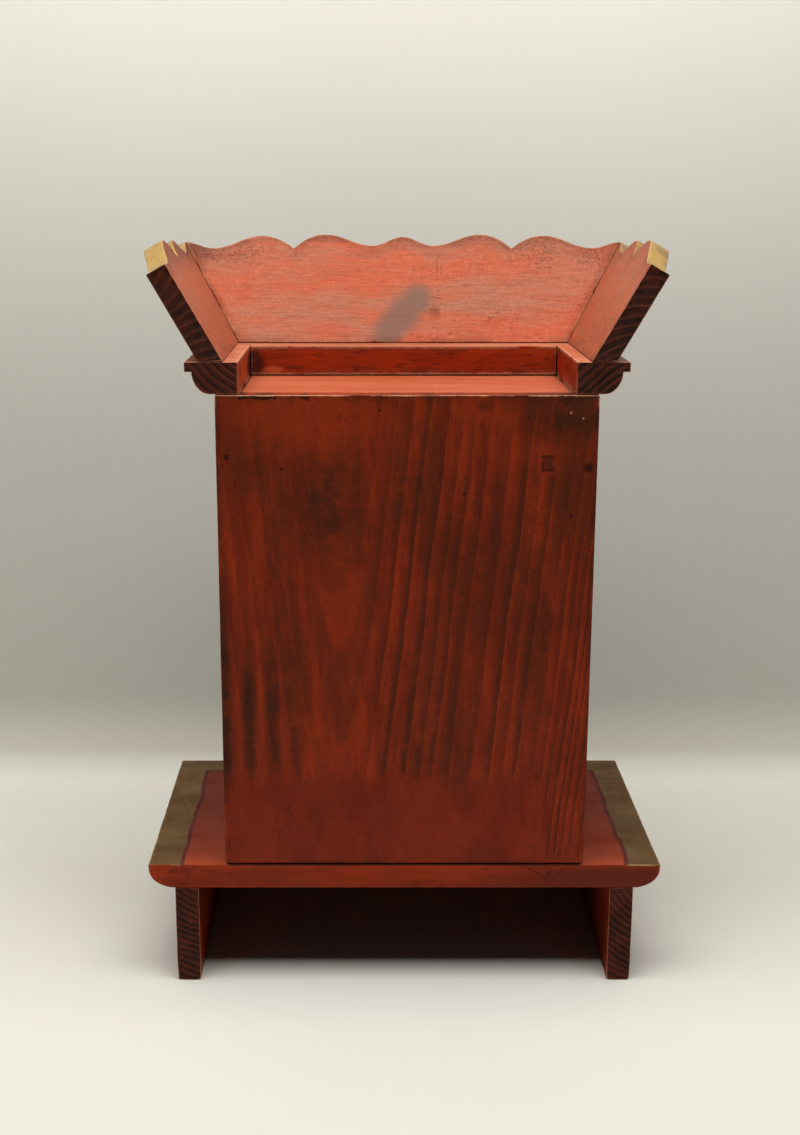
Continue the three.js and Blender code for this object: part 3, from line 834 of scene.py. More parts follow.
def crown_paint(effects, finish):
    """The leaning boards: faded salmon inside, gilded crest, red outside, dark ends at the back."""
    paint = Paint("crown paint", effects, finish)
    sheet = paint.sheet
    x, y, z = paint.x, paint.y, paint.z
    grain = paint.effect("wood grain", ring_spacing=0.010, fibre_scale=800.0)
    grime = paint.effect("grime", amount=0.55)
    wear = paint.effect("worn arris", width=0.0015)
    # inner faces look up: only they have a clear upward lean
    inner = sheet.fade(paint.facing[2], 0.15, 0.30)
    crest = sheet.fade(paint.lip, 0.0006, 0.0)

    body = sheet.mix(sheet.fade(grain["Clouds"], 0.36, 0.66), finish.salmon, "cf6644")
    body = sheet.coat(body, "a9553c", sheet.fade(grain["Fibres"], 0.42, 0.70), 0.30)
    body = sheet.coat(body, "c9694a", grime["Clouds"], 0.32)
    # painted shade: the side boards' inner faces, turned away from the light, are painted darker, and darker
    # still on their lower half near the rail
    lower = sheet.fade(z, 0.545, 0.500)
    painted_side_shade = sheet.fade(sheet.size(paint.facing[0]), 0.3, 0.6)
    body = sheet.coat(body, "935038", painted_side_shade, 0.55)
    body = sheet.coat(body, "8e4428", lower, painted_side_shade, 0.60)
    joint = sheet.less(sheet.plus(0.1326, sheet.times(sheet.less(z, 0.4905), 0.5704)), sheet.size(x))
    near_joint = sheet.times(
        sheet.fade(joint, 0.016, 0.002), sheet.fade(sheet.noise(paint.place, 60.0, 4.0, 0.6), 0.40, 0.58)
    )
    body = sheet.coat(body, finish.orange, near_joint, 0.55)
    for patch_x, patch_z, wide, high in (
        (128, 531, 7, 9), (98, 534, 9, 4), (60, 500, 16, 5), (-70, 505, 14, 5)
    ):
        patch = sheet.times(paint.mark(patch_x, patch_z, wide, high, soft=0.8, ragged=0.7), 0.42)
        body = sheet.coat(body, "cc5a36", patch)
    across = sheet.stretched(paint.place, (0.07, 0.5, 1.0))
    drawn = sheet.fade(sheet.noise(across, 520.0, 5.0, 0.75), 0.44, 0.64)
    body = sheet.coat(body, "8f4a34", drawn, 0.34)
    lit = sheet.fade(
        sheet.noise(sheet.stretched(across, (1.0, 1.0, 1.0), (0.4, 0.1, 0.6)), 780.0, 4.0, 0.7), 0.54, 0.68
    )
    body = sheet.coat(body, "cb9478", lit, 0.22)
    powder = sheet.drawn(paint.place, (0.5, 0.8, 1.0), 900.0, 3.0, 0.8)
    body = sheet.coat(body, "7d3e2c", sheet.fade(powder, 0.46, 0.66), 0.30)
    body = sheet.coat(body, "d3a086", sheet.fade(powder, 0.44, 0.28), 0.22)
    to_right = sheet.plus(0.35, sheet.times(sheet.fade(x, 0.02, -0.05), 0.65))
    dashes = sheet.fade(sheet.drawn(paint.place, (0.22, 0.6, 1.0), 560.0, 4.0, 0.72), 0.57, 0.65)
    clumps = sheet.fade(sheet.drawn(paint.place, (0.5, 1.0, 1.0), 70.0, 4.0, 0.6), 0.42, 0.64)
    body = sheet.coat(body, "66281a", dashes, clumps, to_right, 0.85)
    upright = sheet.fade(sheet.drawn(paint.place, (1.0, 0.6, 0.14), 430.0, 3.0, 0.65), 0.62, 0.68)
    body = sheet.coat(body, "6e3424", upright, clumps, to_right, 0.50)
    near_crest = sheet.fade(paint.lip, 0.017, 0.001)
    dusty = sheet.fade(sheet.noise(across, 90.0, 5.0, 0.65), 0.34, 0.62)
    body = sheet.coat(body, "7d4a3a", near_crest, dusty, 0.50)
    smoke = sheet.most(
        paint.mark(10, 501, 12, 22, y=-40, soft=0.50, ragged=0.16, turn=math.radians(36)),
        paint.mark(0, 512, 13, 18, y=-40, soft=0.50, ragged=0.16, turn=math.radians(38)),
        paint.mark(-11, 524, 11, 13, y=-40, soft=0.45, ragged=0.16, turn=math.radians(38)),
    )
    body = sheet.coat(body, finish.smoke, smoke, 0.80)
    for spot_x, spot_z, wide, high in ((-25.6, 514, 4.4, 4.6), (-28, 551, 0.5, 8), (-31, 547, 0.4, 5)):
        spot = sheet.times(
            paint.mark(spot_x, spot_z, wide, high, soft=0.7, ragged=0.7, fine=300.0), sheet.most(dashes, 0.45)
        )
        body = sheet.coat(body, "2c1610", spot, 0.85)
    sooty = sheet.fade(sheet.drawn(paint.place, (0.6, 0.8, 1.0), 640.0, 5.0, 0.8), 0.50, 0.60)
    for cloud_x, cloud_z, wide, high in (
        (-112, 563, 18, 10), (-156, 558, 14, 9), (142, 560, 26, 9), (0, 572, 120, 2.5)
    ):
        cloud = paint.mark(cloud_x, cloud_z, wide, high, soft=0.9, ragged=0.5)
        body = sheet.coat(body, "3a1c14", cloud, sooty, 0.70)
    sooty_corner = paint.mark(166, 566, 16, 10, soft=0.8, ragged=0.5)
    body = sheet.coat(body, "5a2c20", sooty_corner, 0.55)
    body = sheet.coat(body, "3a1a12", grime["Specks"], 0.5)
    body = sheet.coat(body, "dda48a", grime["Dust"], 0.25)

    outside = sheet.mix(sheet.fade(grain["Clouds"], 0.35, 0.68), finish.deep_red, finish.red)
    outside = sheet.coat(outside, finish.soot, grime["Clouds"], 0.40)
    body = sheet.mix(inner, outside, body)
    body = sheet.coat(body, finish.soot, wear["Grimy"], 0.30)
    body = sheet.coat(body, finish.dust, wear["Worn"], 0.6)
    broken = sheet.noise(paint.place, 130.0, 5.0, 0.7)
    ragged = sheet.sway(broken, 0.006)
    band = sheet.times(sheet.fade(sheet.plus(paint.lip, ragged), 0.0085, 0.0075), sheet.fade(inner, 0.4, 0.1))
    gilt = sheet.times(sheet.most(band, crest), sheet.fade(broken, 0.30, 0.40))
    tone = sheet.mix(sheet.fade(sheet.noise(paint.place, 45.0, 4.0, 0.6), 0.35, 0.65), "8b744c", finish.gold)
    body = sheet.coat(body, tone, gilt, 0.9)
    body, ends_height = paint.bare_ends(body, 0.0085, 0.006, 0.7, hollows=0.2)
    roughness = sheet.plus(0.46, sheet.times(grime["Clouds"], 0.25))
    height = sheet.plus(sheet.times(grain["Fibres"], 0.5), sheet.times(ends_height, paint.backward))
    return paint.finish_with(body, roughness, height, 0.0004, metallic=sheet.times(gilt, 0.4))


def top_paint(effects, finish):
    """The board over the box: salmon-orange, dusty at its edges."""
    paint = Paint("faded top paint", effects, finish)
    sheet = paint.sheet
    grain = paint.effect("wood grain", ring_spacing=0.011)
    grime = paint.effect("grime", amount=0.4)
    body = sheet.mix(sheet.fade(grain["Clouds"], 0.34, 0.66), "a8512f", "b06045")
    body = sheet.coat(body, finish.red, grain["Fibres"], 0.25)
    drawn = sheet.fade(sheet.drawn(paint.place, (0.12, 1.0, 1.0), 220.0, 5.0, 0.7), 0.46, 0.68)
    body = sheet.coat(body, "8e3f26", drawn, 0.30)
    back_edge = sheet.fade(sheet.plus(paint.y, sheet.sway(drawn, 0.003)), 0.1075, 0.1115)
    body = sheet.coat(body, "ab7c62", back_edge, 0.75)
    joint = sheet.most(sheet.fade(sheet.size(paint.x), 0.1195, 0.1215), sheet.fade(paint.y, -0.0035, -0.0060))
    body = sheet.coat(body, "4a2012", joint, 0.75)
    body = sheet.coat(body, finish.dust, grime["Dust"], 0.35)
    body = sheet.coat(body, finish.soot, grime["Specks"], 0.5)
    under = sheet.fade(paint.facing[2], -0.6, -0.9)
    body = sheet.coat(body, finish.deep_red, under)
    roughness = sheet.plus(0.48, sheet.times(grime["Dust"], 0.3))
    return paint.finish_with(body, roughness, sheet.times(grain["Fibres"], 0.5), 0.0003)


PAINTS = {
    "red": red_paint,
    "cornice": cornice_paint,
    "back": back_paint,
    "base": base_paint,
    "crown": crown_paint,
    "top": top_paint,
}
EFFECTS = {
    "wood grain": wood_grain_group,
    "figure": figure_group,
    "worn arris": worn_arris_group,
    "grime": grime_group,
    "end grain": end_grain_group,
    "mark": mark_group,
}
made_paints = {}
made_effects = {}


def paint_named(context, name):
    """The material of that name, mixed the first time that it is asked for."""
    if not made_effects:
        made_effects.update({key: build() for key, build in EFFECTS.items()})
    if name not in made_paints:
        made_paints[name] = PAINTS[name](made_effects, context.scene.cabinet_finish)
    return made_paints[name]


# ------------------------------------------------------------- geometry trees


def worn_wood_tree():
    """Moves a board's surface inwards: slow hollows, knocks along the arrises, hard rings on bare ends."""
    tree, sheet, socket = new_tree(
        "Worn wood",
        "GeometryNodeTree",
        {
            "Geometry": "Geometry",
            "Waver": 0.0003,
            "Waver size": 0.06,
            "Nick depth": 0.001,
            "Nick size": 0.007,
            "Ridge depth": 0.0004,
            "Ring spacing": 0.0045,
            "Ring waver": 0.004,
            "Back plane": 0.1,
            "Seed": 0.0,
            "Material": "Material",
        },
        ("Geometry",),
    )
    position = sheet.node("GeometryNodeInputPosition").outputs[0]
    normal = sheet.node("GeometryNodeInputNormal").outputs[0]
    arris = sheet.node("GeometryNodeInputNamedAttribute", {"Name": "arris"}, data_type="FLOAT").outputs[0]
    grain = sheet.node(
        "GeometryNodeInputNamedAttribute", {"Name": "grain"}, data_type="FLOAT_VECTOR"
    ).outputs[0]
    moved = sheet.vector("ADD", position, sheet.join(socket["Seed"], 0.0, 0.0))

    slow = sheet.noise(moved, sheet.over(1.0, socket["Waver size"]), 2.0)
    hollow = sheet.times(slow, socket["Waver"])
    knock = sheet.noise(moved, sheet.over(1.0, socket["Nick size"]), 3.0, 0.6)
    rare = sheet.noise(moved, sheet.over(0.22, socket["Nick size"]), 2.0)
    depth = sheet.times(sheet.fade(knock, 0.52, 0.80), sheet.fade(rare, 0.46, 0.64), socket["Nick depth"])
    softened = sheet.times(knock, 0.30, socket["Waver"])
    at_arris = sheet.fade(arris, 0.0030, 0.0004)
    nick = sheet.times(at_arris, sheet.plus(depth, softened))

    facing, at_y = sheet.split(normal)[1], sheet.split(position)[1]
    behind = sheet.less(socket["Back plane"], at_y)
    bare_end = sheet.times(
        sheet.fade(facing, 0.80, 0.97), sheet.fade(behind, 0.002, 0.001), sheet.fade(arris, 0.0002, 0.0012)
    )
    rings = ring_phase(sheet, grain, socket["Ring spacing"], socket["Ring waver"])
    worn_between = sheet.times(sheet.fade(rings, 0.95, 0.45), bare_end, socket["Ridge depth"])

    inward = sheet.times(sheet.plus(sheet.plus(hollow, nick), worn_between), -1.0)
    offset = sheet.node("ShaderNodeVectorMath", {0: normal, "Scale": inward}, operation="SCALE").outputs[0]
    placed = sheet.node(
        "GeometryNodeSetPosition", {"Geometry": socket["Geometry"], "Offset": offset}
    ).outputs[0]
    smooth = sheet.node("GeometryNodeSetShadeSmooth", {"Geometry": placed}).outputs[0]
    real = sheet.node("GeometryNodeRealizeInstances", {"Geometry": smooth}).outputs[0]
    coated = sheet.node(
        "GeometryNodeSetMaterial", {"Geometry": real, "Material": socket["Material"]}
    ).outputs[0]
    close_tree(tree, Geometry=coated)
    return tree


def swept_rail_tree():
    """Sweeps a moulding's section along a path that runs in +Y, and mitres its ends."""
    tree, sheet, socket = new_tree(
        "Swept rail",
        "GeometryNodeTree",
        {
            "Path": "Geometry",
            "Section": "Object",
            "Rail length": 0.1,
            "Square part": 0.0,
            "Near mitre": 0.0,
            "Far mitre": 1.0,
            "Material": "Material",
        },
        ("Geometry",),
    )
    path = sheet.node("GeometryNodeMeshToCurve", {"Mesh": socket["Path"]}).outputs[0]
    shape = sheet.node("GeometryNodeObjectInfo", {"Object": socket["Section"]}).outputs["Geometry"]
    section = sheet.node("GeometryNodeMeshToCurve", {"Mesh": shape}).outputs[0]
    fullness = sheet.node(
        "GeometryNodeInputNamedAttribute", {"Name": "fullness"}, data_type="FLOAT"
    ).outputs[0]
    swept = sheet.node(
        "GeometryNodeCurveToMesh", {
            "Curve": path, "Profile Curve": section, "Scale": fullness, "Fill Caps": True
        }
    ).outputs[0]
    x, y, _ = sheet.split(sheet.node("GeometryNodeInputPosition").outputs[0])
    reach = sheet.most(sheet.less(x, socket["Square part"]), 0.0)
    share = sheet.over(y, socket["Rail length"])
    far = sheet.times(share, socket["Far mitre"])
    near = sheet.times(sheet.less(1.0, share), socket["Near mitre"])
    slide = sheet.times(reach, sheet.less(far, near))
    mitred = sheet.node(
        "GeometryNodeSetPosition", {"Geometry": swept, "Offset": sheet.join(0.0, slide, 0.0)}
    ).outputs[0]
    real = sheet.node("GeometryNodeRealizeInstances", {"Geometry": mitred}).outputs[0]
    coated = sheet.node(
        "GeometryNodeSetMaterial", {"Geometry": real, "Material": socket["Material"]}
    ).outputs[0]
    close_tree(tree, Geometry=coated)
    return tree


made_trees = {}


def tree_named(name, build):
    if name not in made_trees:
        made_trees[name] = build()
    return made_trees[name]


def run_tree(obj, tree, values):
    """Evaluates a geometry tree on an object and returns the result as a plain mesh."""
    modifier = obj.modifiers.new("work", "NODES")
    modifier.node_group = tree
    identifiers = {s.name: s.identifier for s in tree.interface.items_tree if s.in_out == "INPUT"}
    for name, value in values.items():
        modifier[identifiers[name]] = value
    bpy.context.view_layer.update()
    made = bpy.data.meshes.new_from_object(obj.evaluated_get(bpy.context.evaluated_depsgraph_get()))
    obj.modifiers.remove(modifier)
    return made


# --------------------------------------------------------------- board meshes


def stations(size, radius, step, fixed=()):
    """Places of the rows of points along one edge of a board, close together at its rounded ends."""
    near = radius * np.array([0.0, 0.30, 0.65, 1.0, 1.4])
    count = max(2, int(round((size - 2 * near[-1]) / step)) + 1)
    rows = np.concatenate([near[:-1], np.linspace(near[-1], size - near[-1], count), size - near[:-1]])
    for place in fixed:  # a row lies on each turning point
        inner = np.arange(4, len(rows) - 4)
        rows[inner[np.argmin(np.abs(rows[inner] - place))]] = place
    return np.unique(np.round(rows, 7))


def rounded_block(rows, radius):
    """A block on three rows of stations, its edges rounded.

    Returns points, quads and each point's distance from an edge."""
    counts = [len(r) for r in rows]
    quads = []
    for axis in range(3):
        u, v = (axis + 1) % 3, (axis + 2) % 3
        i, j = np.meshgrid(np.arange(counts[u] - 1), np.arange(counts[v] - 1), indexing="ij")
        for end in (0, 1):
            corners = []
            for di, dj in ((0, 0), (1, 0), (1, 1), (0, 1)):
                corner = np.zeros((*i.shape, 3), int)
                corner[..., u], corner[..., v], corner[..., axis] = i + di, j + dj, end * (counts[axis] - 1)
                corners.append(corner.reshape(-1, 3))
            quads.append(np.stack(corners if end else corners[::-1], 1))
    quads = np.concatenate(quads)
    keys = np.ravel_multi_index(tuple(np.moveaxis(quads, -1, 0)), counts)
    unique, inverse = np.unique(keys, return_inverse=True)
    index = np.stack(np.unravel_index(unique, counts), 1)
    flat = np.stack([rows[k][index[:, k]] for k in range(3)], 1)
    size = np.array([r[-1] for r in rows])
    round_by = (radius(flat) if callable(radius) else np.full(len(flat), radius))[:, None]
    core = np.clip(flat, round_by, size - round_by)
    away = flat - core
    reach = np.maximum(np.linalg.norm(away, axis=1, keepdims=True), NEARLY_NOTHING)
    points = core + away / reach * round_by
    arris = np.sort(np.minimum(flat, size - flat), axis=1)[:, 1]
    return points, inverse.reshape(quads.shape[:2]), arris


def board_mesh(name, points, faces, attributes):
    """A closed mesh whose faces point out, with one value or vector of each attribute per point."""
    mesh = bpy.data.meshes.new(name)
    mesh.from_pydata(points.tolist(), [], [tuple(face) for face in faces])
    work = bmesh.new()
    work.from_mesh(mesh)
    bmesh.ops.recalc_face_normals(work, faces=work.faces)
    if work.calc_volume(signed=True) < 0:
        bmesh.ops.reverse_faces(work, faces=work.faces)
    work.to_mesh(mesh)
    work.free()
    for key, values in attributes.items():
        kind = "FLOAT_VECTOR" if np.ndim(values) == 2 else "FLOAT"
        layer = mesh.attributes.new(key, kind, "POINT")
        layer.data.foreach_set(
            "vector" if kind == "FLOAT_VECTOR" else "value", np.asarray(values, np.float32).ravel()
        )
    mesh.update()
    return mesh


def set_board(
    context, node, points, faces, arris, grain, lip, slot, paint, seed, rings=(4.5, 4.0), waver=1.0
):
    """Meshes and weathers a board, gives it its paint and hands it over in place of its node.

    Arris is each point's distance from an edge, grain its place in the log and lip its distance from
    a gilded edge."""
    lip = np.full(len(points), UNGILDED) if lip is None else lip
    mesh = board_mesh(node, points, faces, {"arris": arris, "grain": grain, "lip": lip})
    wear = context.scene.cabinet_wear
    obj = bpy.data.objects.new(f"painted_{node}", mesh)
    context.scene.collection.objects.link(obj)
    values = {
        "Waver": wear.waver * waver,
        "Waver size": wear.waver_size,
        "Nick depth": wear.nick_depth,
        "Nick size": wear.nick_size,
        "Ridge depth": wear.ridge_depth,
        "Ring spacing": rings[0] * MM,
        "Ring waver": rings[1] * MM,
        "Back plane": BACK,
        "Seed": float(seed),
        "Material": paint_named(context, paint),
    }
    obj.data = run_tree(obj, tree_named("Worn wood", worn_wood_tree), values)
    obj.data.name = obj.name
    bpy.data.meshes.remove(mesh)
    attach(obj, "root")
    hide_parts(node)


def plain_board(context, node, slot, paint, seed, along, heart, radius=None, lip=None, **options):
    """A straight board in its node's box.

    Along is the axis of its grain. Heart is where the log's heart lies, in millimetres from the board's
    lowest corner, on the two axes across the grain, with the log's tilt."""
    sizes = context.scene.cabinet_sizes
    low, high = (np.array(corner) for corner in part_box(node))
    size = high - low
    rows = [stations(s, sizes.arris, sizes.mesh_step) for s in size]
    points, quads, arris = rounded_block(rows, radius or sizes.arris)
    grain = log_place(points, along, heart, seed)
    lip = lip(points, size) if lip else None
    set_board(context, node, points + low, quads, arris, grain, lip, slot, paint, seed, **options)


def log_place(points, along, heart, seed):
    """Where each point lay in the log: two distances from its heart, and how far along it."""
    across = [axis for axis in range(3) if axis != along]
    length_wise = points[:, along] + 0.37 * seed
    u = points[:, across[0]] - heart[0] * MM
    v = points[:, across[1]] - heart[1] * MM + (heart[2] if len(heart) > 2 else 0.0) * points[:, along]
    return np.stack([u, v, length_wise], 1)


# ------------------------------------------------------ lobed and cusped edges


def edge_height(turns, where):
    """Height of a lobed edge: beside a cusp the curve is a parabola, steep at the cusp, elsewhere it eases."""
    at = np.array([t[0] for t in turns]) * MM
    height = np.array([t[1] for t in turns]) * MM
    cusp = [t[2] for t in turns]
    result = np.full(np.shape(where), height[-1])
    for k in range(len(turns) - 1):
        part = np.clip((where - at[k]) / (at[k + 1] - at[k]), 0, 1)
        rise = height[k + 1] - height[k]
        if cusp[k + 1]:
            value = height[k] + rise * part**2
        elif cusp[k]:
            value = height[k + 1] - rise * (1 - part) ** 2
        else:
            value = height[k] + rise * (1 - np.cos(math.pi * part)) / 2
        result = np.where((where >= at[k]) & (where <= at[k + 1]), value, result)
    return result


# -------------------------------------------------------------------- pieces


def bezier(control, count):
    """Points on the cubic curve of four control points."""
    a, b, c, d = np.array(control)
    t = np.linspace(0, 1, count)[:, None]
    return a * (1 - t) ** 3 + 3 * b * t * (1 - t) ** 2 + 3 * c * t**2 * (1 - t) + d * t**3


class CABINET_OT_base(bpy.types.Operator):
    """Build the moulded base board, its two side boards and its apron"""

    bl_idname = "cabinet.base"
    bl_label = "Base"

    def execute(self, context):
        sizes = context.scene.cabinet_sizes
        self.board(context, sizes)
        low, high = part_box("base_side_left")

        def worn_foot(flat, foot=sizes.foot_round, top=sizes.arris, height=high.z - low.z):
            share = np.clip(flat[:, 2] / (0.25 * height), 0, 1)
            return foot + (top - foot) * share

        for node, seed, along, heart in (
            ("base_side_left", 2, 1, (-46, 118)),
            ("base_side_right", 4, 1, (-30, 130)),
            ("base_apron", 5, 0, (-40, -90)),
        ):
            plain_board(context, node, "red_paint", "red", seed, along, heart, radius=worn_foot)
        return {"FINISHED"}

    def board(self, context, sizes):
        low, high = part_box("base_board")
        half, depth = high.x, high.y - low.y
        lip = high.z - sizes.base_lip
        foot = (sizes.base_undercut, low.z)
        out = (sizes.base_undercut / 4, low.z + sizes.base_lip)
        curve = bezier([foot, out, (0.0, lip - sizes.base_belly), (0.0, lip)], 200)
        profile = np.vstack([curve, [(0.0, high.z)]])
        run = np.concatenate([[0], np.cumsum(np.linalg.norm(np.diff(profile, axis=0), axis=1))])
        rows = [
            stations(2 * half, sizes.arris, sizes.mesh_step),
            stations(depth, sizes.arris, sizes.mesh_step),
            stations(run[-1], sizes.arris, 1.5 * MM),
        ]
        points, quads, arris = rounded_block(rows, sizes.arris)
        inset = np.interp(points[:, 2], run, profile[:, 0])
        z = np.interp(points[:, 2], run, profile[:, 1])
        x = (points[:, 0] / half - 1) * (half - inset)
        forward = points[:, 1] / depth * (depth - inset)
        placed = np.stack([x, BACK - forward, z], 1)
        grain = log_place(placed + (half, 0, 0), 0, (-150, 40, 0.05), 1)
        set_board(
            context, "base_board", placed, quads, arris, grain, None, "bronze_paint", "base", 1, rings=(30, 4)
        )


def shaped_board(context, sizes, node, low, high, turns, rise, paint, seed):
    """A flat upright board across the cabinet whose lower edge is cut in curves."""
    half = high.x
    fixed = [half + sign * t[0] * MM for t in turns for sign in (-1, 1)]
    rows = [
        stations(2 * half, sizes.arris, sizes.mesh_step, fixed),
        stations(high.y - low.y, sizes.arris, sizes.mesh_step),
        stations(high.z - low.z, sizes.arris, sizes.mesh_step),
    ]
    points, quads, arris = rounded_block(rows, sizes.arris)
    x = points[:, 0] - half
    cut = np.maximum(rise - edge_height(turns, np.abs(x)), 0.0)
    share = points[:, 2] / (high.z - low.z)
    z = low.z + cut + share * (high.z - low.z - cut)
    placed = np.stack([x, low.y + points[:, 1], z], 1)
    grain = log_place(points, 0, (40, -90), seed)
    lip = np.where(placed[:, 1] < high.y - 2 * MM, z - low.z - cut, UNGILDED)
    set_board(context, node, placed, quads, arris, grain, lip, "red_paint", paint, seed)


class CABINET_OT_box(bpy.types.Operator):
    """Build the box: back board, side boards and top board"""

    bl_idname = "cabinet.box"
    bl_label = "Box"

    def execute(self, context):
        sizes = context.scene.cabinet_sizes

        def worn_corner(flat, foot=sizes.foot_round, top=sizes.arris):
            return foot + (top - foot) * np.clip(flat[:, 2] / 0.012, 0, 1)

        self.back(context, sizes, worn_corner)
        for side, seed in (("left", 7), ("right", 8)):
            plain_board(context, f"side_panel_{side}", "red_paint", "red", seed, 2, (-60, 70, 0.03))
        plain_board(context, "top_board", "faded_red_paint", "top", 9, 0, (-80, -50, 0.02))
        return {"FINISHED"}

    def back(self, context, sizes, corner):
        low, high = (np.array(c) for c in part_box("back_panel"))
        rows = [stations(s, sizes.arris, sizes.mesh_step) for s in high - low]
        points, quads, arris = rounded_block(rows, corner)
        placed = points + low
        # the log's heart lies behind the board, tilted, so that rings close downwards in tongues
        x, z = placed[:, 0], placed[:, 2]
        spread = 1 + 0.17 * (z - 0.28)
        grain = np.stack([(x - 50 * MM) / spread, 0.1 * (0.5 - z) + (BACK - placed[:, 1]), z], 1)
        set_board(
            context, "back_panel", placed, quads, arris, grain, None, "sooty_red_paint", "back", 6, rings=(
                50, 0
            )
        )


class CABINET_OT_front(bpy.types.Operator):
    """Build the open front frame: two stiles, an arched lintel and a sill"""

    bl_idname = "cabinet.front"
    bl_label = "Front frame"

    def execute(self, context):
        sizes = context.scene.cabinet_sizes
        for side, sign in (("left", -1), ("right", 1)):

            def opening_edge(points, size, sign=sign):
                from_opening = size[0] - points[:, 0] if sign < 0 else points[:, 0]
                return np.where(points[:, 1] < size[1] - 2 * MM, from_opening, 1.0)

            plain_board(
                context, f"front_stile_{side}", "red_paint", "red", 11 + sign, 2, (-40, 60), lip=opening_edge
            )
        low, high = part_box("front_lintel")
        shaped_board(context, sizes, "front_lintel", low, high, ARCH, ARCH[-1][1] * MM, "red", 13)
        plain_board(context, "front_sill", "red_paint", "red", 14, 0, (50, -60))
        return {"FINISHED"}


